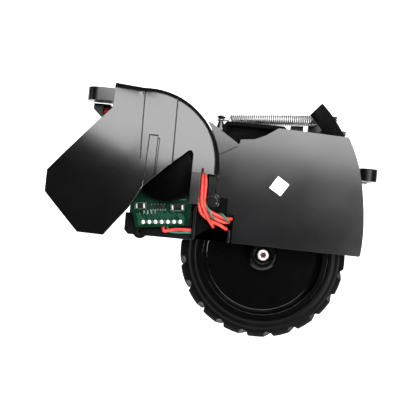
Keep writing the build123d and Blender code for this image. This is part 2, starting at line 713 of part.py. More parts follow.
def end_bell():
    """The plastic cap that closes the can and holds the brushes."""
    inside = MOTOR_RADIUS - MOTOR_WALL - SEAT
    body = rod(MOTOR_AXIS, inside, MOTOR_FRONT, MOTOR_FRONT + 2.0)
    body += rod(MOTOR_AXIS, 3.4, MOTOR_FRONT - 0.9, MOTOR_FRONT + 0.5)
    for side in (-1, 1):
        centre = (MOTOR_AXIS[0] + side * 6.6, MOTOR_AXIS[1])
        low = (centre[0] - 2.6, MOTOR_FRONT + 1.5, centre[1] - 2.4)
        high = (centre[0] + 2.6, MOTOR_FRONT + 5.6, centre[1] + 2.4)
        body += block(low, high)
        low = (centre[0] - 3.0, MOTOR_FRONT + 2.4, centre[1] - 1.3)
        high = (centre[0] + 3.0, MOTOR_FRONT + 4.8, centre[1] + 1.3)
        body -= block(low, high)
    return body - rod(MOTOR_AXIS, MOTOR_SHAFT_RADIUS + RUN, MOTOR_FRONT - 3, MOTOR_FRONT + 4)


def terminal_places():
    return [polar(8.6, angle, MOTOR_AXIS) for angle in (235, 305)]


def motor_terminals():
    """Two tabs from the brushes through the board."""
    near, far = BOARD_FRONT - 0.6, MOTOR_FRONT
    tabs = [slab(Pos(*place) * Rectangle(1.8, 0.5), near, far - SEAT) for place in terminal_places()]
    return Compound(children=tabs)


def brushes():
    pair = []
    for side in (-1, 1):
        x = MOTOR_AXIS[0] + side * (3.3 + 2.2)
        low = (x - 2.1, MOTOR_FRONT + 2.4 + SEAT, MOTOR_AXIS[1] - 1.3 + SEAT)
        high = (x + 2.1, MOTOR_FRONT + 4.8 - SEAT, MOTOR_AXIS[1] + 1.3 - SEAT)
        pair.append(block(low, high))
    return Compound(children=pair)


def armature():
    """Five-pole iron core with a winding on each pole."""
    radius = MOTOR_RADIUS - MOTOR_WALL - MAGNET_THICKNESS - AIR_GAP
    near, far = MOTOR_FRONT + 9.0, GEARBOX_FRONT - 6.0
    core = Circle(radius)
    for index in range(5):
        slot = Pos(*polar(radius - 2.4, index * 72 + 36)) * Circle(2.0)
        mouth = Rot(0, 0, index * 72 + 36) * Pos(radius - 0.8, 0) * Rectangle(2.6, 0.9)
        core -= slot + mouth
    body = slab(Pos(*MOTOR_AXIS) * core, near, far)
    for near_end, far_end in ((near - 2.4, near + 0.2), (far - 0.2, far + 2.4)):
        body += rod(MOTOR_AXIS, radius - 2.2, near_end, far_end)
    return body - rod(MOTOR_AXIS, MOTOR_SHAFT_RADIUS + SEAT, near - 5, far + 5)


def commutator():
    near = MOTOR_FRONT + 2.3
    body = ring(MOTOR_AXIS, 3.2, MOTOR_SHAFT_RADIUS + SEAT, near, near + 4.0)
    for index in range(5):
        x, z = polar(3.2, index * 72 + 36, MOTOR_AXIS)
        cut = Pos(x, near + 2, z) * Rot(0, -(index * 72 + 36), 0) * Box(1.0, 5.0, 0.3)
        body -= cut
    return body


def motor_shaft():
    return rod(MOTOR_AXIS, MOTOR_SHAFT_RADIUS, CAP_FRONT + CAP_WALL + 0.8, LAYER[1] - 0.2)


def encoder_magnet():
    far = BOARD_FRONT - 1.0
    return ring(MOTOR_AXIS, 5.0, MOTOR_SHAFT_RADIUS + SEAT, far - 1.0, far)


def encoder_cap():
    back = BOARD_FRONT - SEAT
    centre = (MOTOR_AXIS[0] + CAP_OFFSET[0], MOTOR_AXIS[1] + CAP_OFFSET[1])
    body = rod(centre, CAP_RADIUS, CAP_FRONT, back)
    front_edge = body.edges().filter_by(GeomType.CIRCLE).sort_by(Axis.Y)[0]
    body = fillet(front_edge, 0.8)
    return body - rod(centre, CAP_RADIUS - CAP_WALL, CAP_FRONT + CAP_WALL, back + THROUGH)


def board_face():
    mx, mz = MOTOR_AXIS
    return make_face(Polyline(
        (mx - 12.4, mz + 2.0), (-33.0, -6.1), (-30.1, -13.9), (-8.6, -11.15), (-8.0, -2.0),
        (-9.6, mz + 3.0), (mx + 5.0, mz + 12.2), (mx - 6.0, mz + 12.2), (mx - 12.4, mz + 2.0),
    ))


def pad_places():
    """The row of seven pads, in line with the board's lower edge."""
    start, end = (-27.7, -11.3), (-11.9, -9.7)
    slope = direction(start, end)
    middle = ((start[0] + end[0]) / 2, (start[1] + end[1]) / 2)
    steps = [(index - (PAD_COUNT - 1) / 2) * PAD_PITCH for index in range(PAD_COUNT)]
    return [polar(step, slope, middle) for step in steps]


def encoder_board():
    far = BOARD_FRONT + BOARD_THICKNESS
    body = slab(board_face(), BOARD_FRONT, far)
    body -= rod(MOTOR_AXIS, 3.6, BOARD_FRONT - THROUGH, far + THROUGH)
    for place in terminal_places():
        body -= slab(Pos(*place) * Rectangle(1.9, 0.6), BOARD_FRONT - THROUGH, far + THROUGH)
    for place in pad_places():
        body -= rod(place, 0.5, BOARD_FRONT - THROUGH, far + THROUGH)
    return body


def solder_pads():
    pads = []
    for place in pad_places():
        profile = [(0, BOARD_FRONT - 0.5), (PAD_RADIUS * 0.6, BOARD_FRONT - 0.35),
                   (PAD_RADIUS, BOARD_FRONT - SEAT), (0, BOARD_FRONT - SEAT)]
        pads.append(turned(place, profile))
    return Compound(children=pads)


def board_parts():
    """Chips and resistors on the board's front, below the cap."""
    near, far = BOARD_FRONT - 0.9, BOARD_FRONT - SEAT
    sizes = [(-29.0, -4.9, 3.6, 1.5), (-13.6, -3.5, 4.6, 1.7), (-21.4, -4.3, 3.2, 1.5),
             (-25.2, -4.6, 1.4, 0.8), (-17.4, -3.8, 1.4, 0.8)]
    parts = []
    for x, z, width, height in sizes:
        face = Pos(x, z) * Rot(0, 0, 6) * Rectangle(width, height)
        parts.append(slab(face, near, far))
    return Compound(children=parts)


def plain_label():
    near = PLATE_FRONT - 0.12
    face = Pos(27.3, 8.8) * Rot(0, 0, 58) * Rectangle(6.0, 5.8)
    return slab(face, near, PLATE_FRONT - 0.01)


# Frame

def hood_face(bottom):
    """The hood's rounded outline down to a level."""
    corner, start, end = HOOD_CORNER, (-31.5, 43.5), (1.9, 12.1)
    outline = Line(corner, start)
    outline += ThreePointArc(start, (-7.9, 35.3), end)
    outline += Polyline(end, (1.9, bottom), (corner[0], bottom), corner)
    return make_face(outline)


def guard_face():
    """The angular guard in front of the motor, with its slanted lower right edge."""
    return make_face(Polyline(
        (-43.4, 33.6), (-67.5, 6.3), (-67.7, -2.6), (-53.1, -17.7), (-42.4, -17.9), (-33.1, -5.9),
        (-28.0, 3.2), (-23.6, 7.7), (-16.0, 14.6), (-16.0, 30.0), (-43.4, 33.6),
    ))


def ahead(inset):
    """The space in front of the hood's domed front, with that front set back by an inset."""
    x, z = HOOD_DOME_CENTRE
    space = block((x - 60, HOOD_FRONT - 20, z - 60), (x + 60, HOOD_FRONT + 12.5, z + 60))
    return space - Pos(x, HOOD_FRONT + HOOD_DOME, z) * Sphere(HOOD_DOME - inset)


def roof_edges(solid, inset):
    """The edges where a hood form's roof meets its domed front."""
    dome = solid.faces().filter_by(GeomType.SPHERE)[0]
    least = HOOD_CORNER[0] + inset + 0.5
    return [edge for edge in dome.edges() if edge.center().X > least and edge.center().Z > HOOD_LOW + 8]


def hood_shell():
    """The hood over the motor: a domed front, a round roof and a flat left side."""
    body = slab(hood_face(HOOD_LOW), HOOD_FRONT - THROUGH, BRACKET_FRONT - SEAT) - ahead(0)
    body = fillet(roof_edges(body, 0), HOOD_EDGE)
    inside = offset(hood_face(HOOD_LOW - 30), -HOOD_WALL, kind=Kind.INTERSECTION)
    hollow = slab(inside, HOOD_FRONT, BRACKET_BACK) - ahead(HOOD_WALL)
    body -= fillet(roof_edges(hollow, HOOD_WALL), HOOD_EDGE - HOOD_WALL)
    plan = Polygon(
        (-13, HOOD_SHALLOW_BACK), (20, HOOD_SHALLOW_BACK), (20, 60), (-26, 60),
        (-26, HOOD_MIDDLE_BACK), (-13, HOOD_MIDDLE_BACK), align=None,
    )
    return body - pillar(plan, -20, 70)


def hood_guard():
    """The angular guard that runs on from the hood's front, with a rim round its free edges."""
    back = HOOD_FRONT + HOOD_WALL + GUARD_RIB_DEPTH
    rim = guard_face() - offset(guard_face(), -GUARD_RIB, kind=Kind.INTERSECTION)
    rim -= Polygon((HOOD_CORNER[0], -30), (20, -30), (20, 50), (HOOD_CORNER[0], 50), align=None)
    pocket = slab(guard_face() - rim, HOOD_FRONT - THROUGH, back + THROUGH) - ahead(HOOD_WALL)
    return slab(guard_face(), HOOD_FRONT - THROUGH, back) - ahead(0) - pocket


def notch_face():
    """The slanted notch through which the motor's cap and board show."""
    return make_face(Polyline(
        (-10.3, 19.4), (-11.2, 19.2), (-23.6, 7.7), (-33.1, -5.9), (-33.1, -20.0), (-9.4, -20.0),
        (-9.4, 18.2), (-10.3, 19.4),
    ))


def motor_hood():
    body = hood_shell() + hood_guard()
    body -= slab(notch_face(), HOOD_FRONT - THROUGH, TONGUE_BACK)
    body += block((-9.4, HOOD_FRONT, -2.0), (-5.3, TONGUE_BACK, 19.0)) - ahead(0.4)
    body -= block((-5.3, HOOD_FRONT - THROUGH, 0.0), (-4.7, TONGUE_BACK + SIDE_GAP, 12.6))
    body += column()
    body += left_ear()
    x, z = LEFT_EAR
    body -= block((x + 8.5, 3.6, z - 8.7), (x + 12.5, 9.4, z - 3.5))
    for place in bracket_screw_places():
        body += rod(place, 2.7, BRACKET_FRONT - 12, BRACKET_FRONT - SEAT)
        body -= rod(place, 1.0, BRACKET_FRONT - 9, BRACKET_FRONT + THROUGH)
    body -= recess_slot()
    for top, low in ((-31.1, -30.2), (-17.7, -17.3)):
        line = ((top - 0.12, 43.5), (top + 0.12, 43.5), (low + 0.12, 14.0), (low - 0.12, 14.0))
        seam = Polygon(*line, align=None)
        body -= slab(seam, HOOD_FRONT - THROUGH, HOOD_FRONT + 12) & ahead(0.2)
    return body


def recess_slot():
    """The sunk slot in the hood's front, above the notch."""
    deep = Polygon((-27.4, 24.0), (-24.0, 24.0), (-24.2, 4.0), (-28.2, 0.0), align=None)
    step = Polygon((-24.1, 22.8), (-23.2, 22.8), (-23.6, 7.0), (-24.4, 7.0), align=None)
    cut = slab(deep, HOOD_FRONT - THROUGH, HOOD_FRONT + 8) & ahead(1.1)
    return cut + (slab(step, HOOD_FRONT - THROUGH, HOOD_FRONT + 8) & ahead(0.5))


def column():
    """The hood's leg that carries the front pivot pin."""
    far = PLATE_FRONT - 1.6
    near = far - 4.0
    body = block((-2.2, near, 1.0), (0.9, far, 12.0))
    body += block((-2.2, near, 9.5), (1.8, far, 14.0))
    body += rod(PIVOT, FRONT_PIN_RADIUS + 1.1, near, far)
    return body - rod(PIVOT, FRONT_PIN_RADIUS + SEAT, near - THROUGH, far + THROUGH)


def left_ear():
    """A screw ear with an upright bore at the origin."""
    x, z = LEFT_EAR
    top, low = z + EAR_TOP, z + EAR_TOP - EAR_HEIGHT
    plan = Circle(EAR_RADIUS) + Pos(6, 0) * Rectangle(12, 2 * EAR_RADIUS)
    body = Pos(x, 0, 0) * pillar(plan, low, top)
    body -= block((-42.6, -10, low - 1), (0, 10, top + 1))
    return body - Pos(x, 0, 0) * pillar(Circle(EAR_BORE), low - THROUGH, top + 1)


def bracket_face():
    """The plate behind the gearbox that joins hood, pivot, spring anchor and right ear."""
    post_x, post_z = ANCHOR
    ear_x, ear_z = RIGHT_EAR[0] - RIGHT_EAR_RADIUS + 0.1, RIGHT_EAR[1]
    left = HOOD_CORNER[0]
    return Polygon(
        (left, 43.2), (-27.0, 41.4), (-20.0, 30.0), (-6.0, 13.0), (6.0, 11.0), (18.0, 22.0),
        (33.8, 29.0), (33.8, 39.4), (39.8, 39.8), (39.8, 33.5), (42.0, 33.5), (42.0, 41.0),
        (post_x - 5.5, post_z + 4.0), (post_x + 4.5, post_z + 4.0), (post_x + 8.5, post_z - 3.0),
        (ear_x, ear_z + 4.05), (ear_x, ear_z - 3.95), (48.0, 9.0),
        (24.0, 2.0), (8.0, -8.0), (-8.0, -8.0), (-20.0, 4.0), (left, 24.0), align=None,
    )


def frame_bracket():
    body = slab(bracket_face(), BRACKET_FRONT, BRACKET_BACK)
    for corners in (LEFT_WINDOW, RIGHT_WINDOW):
        window = fillet(Polygon(*corners, align=None).vertices(), 2.0)
        body -= slab(window, BRACKET_FRONT - THROUGH, BRACKET_BACK + THROUGH)
    rim = bracket_face() - offset(bracket_face(), -BRACKET_RIB, kind=Kind.INTERSECTION)
    body += slab(rim, BRACKET_BACK - 0.2, BRACKET_BACK + 1.6)
    body += rod(PIVOT, PIVOT_SHAFT_RADIUS + 4.0, BRACKET_FRONT - 1.4, BRACKET_BACK + 1.6)
    body -= rod(PIVOT, PIVOT_SHAFT_RADIUS + SEAT, BRACKET_FRONT - 3, BRACKET_BACK + 3)
    body += anchor_post()
    body += right_ear()
    for place in bracket_screw_places():
        body -= rod(place, 1.3, BRACKET_FRONT - THROUGH, BRACKET_BACK + 3)
    return body


def bracket_screw_places():
    return [(-39.6, 39.6), (-30.0, 39.0)]


def anchor_post():
    """The shelf and upright post for the spring's fixed end."""
    x, z = ANCHOR
    near = SPRING_DEPTH - 2.6
    body = block((x - 4.5, near, z - 7.0), (x + 6.0, BRACKET_FRONT + 0.5, z - 4.8))
    face = Polygon((0, -5.0), (2.0, -5.0), (POST_RADIUS, -0.8), (POST_RADIUS, 0.7), (1.8, 1.0),
                   (1.8, 1.7), (0, 2.1), align=None)
    body += Pos(x, SPRING_DEPTH, z) * revolve(Plane.XZ * face, Axis.Z)
    return body


def right_ear():
    """A screw ear on an outrigger that clears the fender's wall."""
    x, z = RIGHT_EAR
    y = RIGHT_EAR_DEPTH
    low = z - EAR_HEIGHT / 2
    plan = Pos(x, y) * Circle(RIGHT_EAR_RADIUS)
    plan += Polygon(
        (x - RIGHT_EAR_RADIUS, y), (x + RIGHT_EAR_RADIUS, y),
        (x + RIGHT_EAR_RADIUS - 1.0, BRACKET_BACK), (x - RIGHT_EAR_RADIUS, BRACKET_BACK), align=None,
    )
    body = pillar(plan, low, low + EAR_HEIGHT)
    body += block((x - RIGHT_EAR_RADIUS, BRACKET_FRONT, 15.5), (x + 2.0, BRACKET_BACK, 22.5))
    return body - Pos(x, y, 0) * pillar(Circle(EAR_BORE), low - THROUGH, low + EAR_HEIGHT + 1)


def front_pin():
    far = PLATE_FRONT + PLATE_THICKNESS + 0.9
    near = PLATE_FRONT - 1.6 - 4.0 - 0.6
    body = rod(PIVOT, FRONT_PIN_RADIUS, near, far)
    return body + rod(PIVOT, FRONT_PIN_RADIUS + 0.7, near - 0.5, near + 0.5 - SEAT)


def rear_shaft():
    near = GEARBOX_FRONT + 0.2
    body = rod(PIVOT, PIVOT_SHAFT_RADIUS, near, BRACKET_BACK + 2.6)
    floor = PIVOT_SHAFT_RADIUS - CLIP_GROOVE
    return body - ring(PIVOT, PIVOT_SHAFT_RADIUS + THROUGH, floor, CLIP_NEAR, CLIP_NEAR + CLIP_WIDTH)


def shaft_clip():
    inner = PIVOT_SHAFT_RADIUS - CLIP_GROOVE + SEAT
    face = Circle(PIVOT_SHAFT_RADIUS + 1.5) - Circle(inner) - Pos(0, -3) * Rectangle(2.4, 4.0)
    return slab(face, CLIP_NEAR + SEAT, CLIP_NEAR + CLIP_WIDTH - SEAT)


def frame_screws():
    screws = []
    for place in bracket_screw_places():
        near = BRACKET_BACK + 1.6
        head = rod(place, 2.2, near + SEAT, near + 1.3)
        screws.append(head + rod(place, 0.97, BRACKET_FRONT - 7, near + 0.5))
    return Compound(children=screws)


def wire_path(points, radii):
    """A path of straight runs joined by arcs, one radius for each corner."""
    return FilletPolyline(*points, radius=radii)


def tube(points, radii, radius):
    """A round wire along a path of runs and arcs."""
    path = wire_path(points, radii)
    start = Plane(origin=path @ 0, z_dir=path % 0)
    return sweep(start * Circle(radius), path)


def spring_eye(place, toward):
    """A ring of wire round a post and the arm that leads to the coil."""
    wire = SPRING_WIRE / 2
    reach = POST_RADIUS + 0.15 + wire
    x, z = place
    eye = Pos(x, SPRING_DEPTH, z) * Torus(reach, wire)
    turn = math.radians(direction(HOOK, ANCHOR))
    along = (math.cos(turn), math.sin(turn))
    length = abs(toward - x) / along[0]
    side = 1 if toward > x else -1
    rim = SPRING_RADIUS - wire

    def at(step, up):
        run = side * step
        return (x + run * along[0] - up * along[1], SPRING_DEPTH, z + run * along[1] + up * along[0])

    points = [at(reach - 0.1, 0), at(length - 1.3, 0), at(length - 0.9, rim), at(length + 0.5, rim)]
    return eye + tube(points, [0.6, 0.6], wire)


def tension_spring():
    """A close-wound spring: a ribbed coil body and an eye at each end."""
    start, end = SPRING_BODY
    slope = direction(HOOK, ANCHOR)
    length = (end - start) / math.cos(math.radians(slope))
    pitch = length / SPRING_TURN_COUNT
    inner = SPRING_RADIUS - SPRING_WIRE
    corners = [(0, inner)]
    for turn in range(SPRING_TURN_COUNT):
        corners += [(turn * pitch, SPRING_RADIUS - SPRING_GROOVE), ((turn + 0.5) * pitch, SPRING_RADIUS)]
    corners += [(length, SPRING_RADIUS - SPRING_GROOVE), (length, inner)]
    coil = revolve(Plane.XZ * Polygon(*corners, align=None), Axis.X)
    height = HOOK[1] + (start - HOOK[0]) * math.tan(math.radians(slope))
    coil = Pos(start, SPRING_DEPTH, height) * Rot(0, -slope, 0) * coil
    return coil + spring_eye(HOOK, start) + spring_eye(ANCHOR, end)


def largest_radii(points):
    """The largest arc that each corner's two runs allow."""
    radii = []
    for before, corner, after in zip(points, points[1:], points[2:]):
        first = Vector(*corner) - Vector(*before)
        second = Vector(*after) - Vector(*corner)
        half = math.radians(first.get_angle(second) / 2)
        radii.append(0.45 * min(first.length, second.length) / math.tan(half))
    return radii


def lead(points, radius):
    """A soft lead along its route, with arcs as large as the runs allow."""
    return tube(points, largest_radii(points), radius)


# The loom's route from the socket through the hood, down to the pivot
FRAME_LOOM_ROUTE = [
    (-51.4, 7.0, 35.2), (-48.1, 7.0, 35.2), (-44.0, 7.0, 35.4), (-39.0, 5.0, 35.8), (-32.0, -1.0, 36.6),
    (-25.5, -9.0, 36.0), (-19.5, -15.8, 33.6), (-13.5, -19.3, 28.9), (-8.4, -20.7, 22.6),
    (-5.2, -20.4, 15.5), (-4.1, -19.2, 8.0), (-4.1, -18.6, 3.6), (-4.0, -18.5, 0.0),
]
# Leads on the arm, from beside the pivot into the block, and along the board's lower edge
UPPER_LEAD_ROUTE = [
    (-3.5, -19.0, -0.3), (-3.2, -19.0, -2.4), (-1.5, -18.3, -4.5), (1.5, -17.4, -5.9), (4.7, -16.8, -6.5),
    (7.2, -16.2, -6.8), (8.3, -14.6, -7.2),
]
LOWER_LEAD_ROUTE = [
    (-5.1, -18.2, -0.3), (-4.9, -18.0, -3.2), (-3.5, -17.4, -6.1), (-1.2, -16.7, -8.5), (0.9, -15.7, -10.6),
    (1.9, -13.6, -11.7),
]
BOARD_LEAD_ROUTE = [
    (-22.8, -16.1, -12.0), (-21.8, -16.1, -14.2), (-18.8, -16.1, -15.3), (-14.6, -16.1, -14.7),
    (-10.8, -16.1, -13.9), (-7.3, -16.1, -13.3),
]


def harness_socket():
    """The plug socket under the left ear, with a pocket for each contact."""
    x, z = LEFT_EAR
    top = z + EAR_TOP - EAR_HEIGHT - 0.3
    low, right, near, far = top - 6.2, x + 4.6, 4.0, 10.0
    face = make_face(Polyline(
        (x - 2.8, top), (right, top), (right, low), (x + 1.2, low), (x - 2.8, low + 3.6), (x - 2.8, top)
    ))
    body = slab(face, near, far)
    for row in range(2):
        for column_index in range(3):
            centre = (x - 2.8, near + 1.2 + column_index * 1.8, top - 0.9 - row * 1.5)
            body -= Pos(*centre) * Box(4.0, 0.9, 0.8)
    return body - block((x + 1.4, near - THROUGH, top - 4.6), (right + THROUGH, far - 1.0, top - 0.7))


os.makedirs("parts", exist_ok=True)

save("tyre", tyre())
save("wheel_hub", wheel_hub())
save("wheel_axle", wheel_axle())
save("axle_screw", axle_screw())
save("output_gear", output_gear())
save("first_gear", first_gear())
save("second_gear", second_gear())
save("third_gear", third_gear())
save("motor_pinion", motor_pinion())
save("gearbox_shell", gearbox_shell())
save("gearbox_cover", gearbox_cover())
save("gearbox_screws", gearbox_screws())
save("first_gear_pin", gear_pin(FIRST_AXIS, FIRST_PIN_RADIUS))
save("third_gear_pin", gear_pin(THIRD_AXIS, THIRD_PIN_RADIUS))
save("axle_bearing", axle_bearing())
save("axle_bush", plain_bush(WHEEL_AXIS, AXLE_RADIUS, COVER_FRONT + SEAT, GEARBOX_BACK))
save("pivot_bush_front", plain_bush(PIVOT, FRONT_PIN_RADIUS, PLATE_FRONT - 0.6, -11.5))
save("pivot_bush_inner", plain_bush(PIVOT, PIVOT_SHAFT_RADIUS, GEARBOX_FRONT, GEARBOX_FRONT + GEARBOX_WALL))
save("pivot_bush_outer", plain_bush(PIVOT, PIVOT_SHAFT_RADIUS, COVER_FRONT + SEAT, GEARBOX_BACK))
save("wheel_fender", wheel_fender())
save("fender_screws", fender_screws())
save("motor_screws", motor_screws())
save("motor_terminals", motor_terminals())
save("motor_can", motor_can())
save("motor_magnets", motor_magnets())
save("motor_end_bell", end_bell())
save("motor_brushes", brushes())
save("armature", armature())
save("commutator", commutator())
save("motor_shaft", motor_shaft())
save("encoder_magnet", encoder_magnet())
save("encoder_cap", encoder_cap())
save("encoder_board", encoder_board())
save("solder_pads", solder_pads())
save("board_components", board_parts())
save("blank_label", plain_label())
save("motor_hood", motor_hood())
save("frame_bracket", frame_bracket())
save("pivot_pin_front", front_pin())
save("pivot_shaft_rear", rear_shaft())
save("shaft_clip", shaft_clip())
save("frame_screws", frame_screws())
save("tension_spring", tension_spring())
save("harness_socket", harness_socket())
save("frame_loom", lead(FRAME_LOOM_ROUTE, BUNDLE_RADIUS))
save("upper_lead", lead(UPPER_LEAD_ROUTE, LEAD_RADIUS))
save("lower_lead", lead(LOWER_LEAD_ROUTE, LEAD_RADIUS))
save("board_lead", lead(BOARD_LEAD_ROUTE, LEAD_RADIUS))
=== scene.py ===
import logging
import math
from dataclasses import dataclass, field
from enum import Enum

import bmesh
import bpy
import numpy as np
from mathutils import Matrix, Quaternion, Vector


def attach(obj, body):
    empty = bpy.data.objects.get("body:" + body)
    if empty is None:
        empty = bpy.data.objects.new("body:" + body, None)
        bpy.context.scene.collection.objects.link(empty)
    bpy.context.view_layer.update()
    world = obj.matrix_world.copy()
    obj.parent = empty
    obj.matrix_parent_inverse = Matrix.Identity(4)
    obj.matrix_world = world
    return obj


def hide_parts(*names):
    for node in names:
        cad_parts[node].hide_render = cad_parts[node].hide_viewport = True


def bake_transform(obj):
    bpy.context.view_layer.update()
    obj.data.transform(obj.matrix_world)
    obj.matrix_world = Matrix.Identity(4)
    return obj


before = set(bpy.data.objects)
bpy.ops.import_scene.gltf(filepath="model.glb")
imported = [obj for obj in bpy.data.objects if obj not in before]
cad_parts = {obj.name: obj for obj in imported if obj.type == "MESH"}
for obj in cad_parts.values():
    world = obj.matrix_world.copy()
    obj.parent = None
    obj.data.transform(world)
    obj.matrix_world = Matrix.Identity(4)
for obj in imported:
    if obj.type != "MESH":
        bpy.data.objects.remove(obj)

# Looks of a robot vacuum's drive wheel module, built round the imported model.
# Places are millimetres from the suspension pivot: X right, Y back, Z up.

MM = 0.001
PIVOT = np.array([53.0, 0.0, -41.5])
WHEEL_AXIS = (23.6, -20.6)

# A noise's values between these two spread over a finish's whole range.
NOISE_LOW, NOISE_HIGH = 0.3, 0.7

# Finer layers of the fine and of the broad noise.
FINE_DETAIL, BROAD_DETAIL = 3.0, 4.0

# The lowest roughness of any finish.
SMOOTHEST = 0.02

# The least distance from the pivot, so that a place on its axis can be moved too.
TINY = 1e-6

# A wire's points round it, and its spline's order and steps between two points of its route.
WIRE_SIDES = 12
ROUTE_ORDER, ROUTE_STEPS = 3, 10

# A place, or a direction, as X, Y and Z.
Place = tuple[float, float, float]

log = logging.getLogger("drive_module")


class Body(Enum):
    """The moving bodies that a piece can ride on."""

    FRAME = "frame"
    ARM = "arm"
    WHEEL = "wheel"


def row(points: np.ndarray | list | tuple) -> np.ndarray:
    """Turn millimetres from the pivot into metres in the row frame.

    Args:
        points: One place or an array of places, in millimetres from the pivot.

    Returns:
        The same places in metres, from the left ear's bore.
    """
    return (np.asarray(points, float) + PIVOT) * MM


@dataclass(frozen=True)
class Finish:
    """A surface: its colour, gloss, grain and the slot that it stands for.

    `grain` and `cloud` are the sizes of the fine and the broad noise and `relief` is the fine
    one's height, all in millimetres. `mottle` is the share by which the broad noise shifts the
    colour, `gloss_swing` is its shift of the roughness, and `shine` is the specular level.
    """

    name: str
    slot: str
    colour: tuple[float, float, float]
    roughness: float
    metallic: float = 0.0
    grain: float = 0.25
    relief: float = 0.02
    mottle: float = 0.12
    cloud: float = 9.0
    gloss_swing: float = 0.06
    shine: float = 0.5

    def material(self) -> bpy.types.Material:
        """Build the material once and hand back the same one afterwards.

        The grain is a noise of `grain` millimetres that only lifts the surface by `relief`
        millimetres. A second noise of `cloud` millimetres shifts colour and gloss a little.

        Returns:
            The material, with its nodes in place.
        """
        label = f"{self.name}_look"
        found = bpy.data.materials.get(label)
        if found:
            return found
        made = bpy.data.materials.new(label)
        made.use_nodes = True
        nodes, links = made.node_tree.nodes, made.node_tree.links
        surface = nodes["Principled BSDF"]
        surface.inputs["Metallic"].default_value = self.metallic
        surface.inputs["Specular IOR Level"].default_value = self.shine
        places = nodes.new("ShaderNodeTexCoord")
        fine = self._noise(nodes, links, places, self.grain, FINE_DETAIL)
        broad = self._noise(nodes, links, places, self.cloud, BROAD_DETAIL)
        bump = nodes.new("ShaderNodeBump")
        bump.inputs["Strength"].default_value = 1.0
        bump.inputs["Distance"].default_value = self.relief * MM
        links.new(fine.outputs["Fac"], bump.inputs["Height"])
        links.new(bump.outputs["Normal"], surface.inputs["Normal"])
        tint = nodes.new("ShaderNodeValToRGB")
        low, high = tint.color_ramp.elements
        low.position, high.position = NOISE_LOW, NOISE_HIGH
        low.color = (*[c * (1 - self.mottle) for c in self.colour], 1)
        high.color = (*[min(1.0, c * (1 + self.mottle)) for c in self.colour], 1)
        links.new(broad.outputs["Fac"], tint.inputs["Fac"])
        links.new(tint.outputs["Color"], surface.inputs["Base Color"])
        gloss = nodes.new("ShaderNodeMapRange")
        gloss.inputs["From Min"].default_value = NOISE_LOW
        gloss.inputs["From Max"].default_value = NOISE_HIGH
        gloss.inputs["To Min"].default_value = max(SMOOTHEST, self.roughness - self.gloss_swing)
        gloss.inputs["To Max"].default_value = min(1.0, self.roughness + self.gloss_swing)
        links.new(broad.outputs["Fac"], gloss.inputs["Value"])
        links.new(gloss.outputs["Result"], surface.inputs["Roughness"])
        return made

    @staticmethod
    def _noise(nodes: bpy.types.Nodes, links: bpy.types.NodeLinks, places: bpy.types.Node,
               size: float, detail: float) -> bpy.types.Node:
        """Add a noise whose features are about `size` millimetres across.

        Args:
            nodes: The material's nodes.
            links: Its links.
            places: The node that gives the places on the piece.
            size: The features' size, in millimetres.
            detail: How many finer layers the noise has.

        Returns:
            The noise's node.
        """
        noise = nodes.new("ShaderNodeTexNoise")
        noise.inputs["Scale"].default_value = 1.0 / (size * MM)
        noise.inputs["Detail"].default_value = detail
        links.new(places.outputs["Object"], noise.inputs["Vector"])
        return noise

    def dress(self, piece: bpy.types.Object) -> bpy.types.Object:
        """Put this finish on a piece, in place of what it has.

        Args:
            piece: The piece to dress.

        Returns:
            The same piece.
        """
        piece.data.materials.clear()
        piece.data.materials.append(self.material())
        return piece


HOOD = Finish("satin_hood", "hood_plastic", (0.0016, 0.0016, 0.0018), 0.19, grain=0.35, relief=0.003,
              cloud=14, gloss_swing=0.02)
FRAME_BLACK = Finish("frame_black", "frame_plastic", (0.002, 0.002, 0.002), 0.3, grain=0.3, relief=0.006,
                     shine=0.2)
ARM_BLACK = Finish("arm_black", "arm_plastic", (0.0012, 0.0013, 0.0016), 0.19, grain=0.3, relief=0.003,
                   cloud=16, gloss_swing=0.02)
# Painted shade: the arm's black made darker and duller, for its recessed faces.
ARM_PAINTED_SHADE = Finish("arm_painted_shade", "arm_plastic", (0.001, 0.001, 0.0011), 0.6, grain=0.3, relief=0.01, shine=0.02)
CAP_BLACK = Finish("cap_black", "cap_plastic", (0.0004, 0.0004, 0.0004), 0.22, relief=0.002, shine=0.03)
HUB_GLOSS = Finish("hub_gloss", "hub_plastic", (0.0008, 0.0008, 0.0008), 0.12, grain=0.8, relief=0.002,
                   cloud=6, gloss_swing=0.01, shine=0.2)
TYRE_RUBBER = Finish("tyre_rubber", "tyre_rubber", (0.0014, 0.0014, 0.0015), 0.4, grain=0.16, relief=0.012,
                     mottle=0.3, shine=0.03)
BRIGHT_STEEL = Finish("bright_steel", "bright_steel", (0.72, 0.72, 0.73), 0.24, 1.0, grain=0.4, relief=0.003)
SPRING_STEEL = Finish("spring_steel", "bright_steel", (0.22, 0.22, 0.22), 0.3, 1.0, grain=0.4, relief=0.003)
SCREW_STEEL = Finish("screw_steel", "screw_steel", (0.75, 0.66, 0.64), 0.28, 1.0, grain=0.3, relief=0.004)
SOCKET_SHADE = Finish("socket_shade", "screw_steel", (0.03, 0.02, 0.02), 0.5, 1.0, grain=0.3, relief=0.004)
BLACKENED = Finish("blackened_steel", "bright_steel", (0.02, 0.02, 0.02), 0.22, 1.0, grain=0.3, relief=0.003)
CAN_STEEL = Finish("can_steel", "can_steel", (0.55, 0.55, 0.56), 0.34, 1.0, grain=0.5, relief=0.004)
IRON = Finish("core_iron", "iron_core", (0.22, 0.2, 0.18), 0.5, 0.8)
FERRITE = Finish("ferrite", "magnet_ferrite", (0.06, 0.06, 0.065), 0.6, 0.2)
BRASS = Finish("turned_brass", "brass_parts", (0.7, 0.5, 0.22), 0.3, 1.0, relief=0.003)
BRONZE = Finish("sintered_bronze", "bush_bronze", (0.5, 0.32, 0.16), 0.45, 1.0, grain=0.12, relief=0.01)
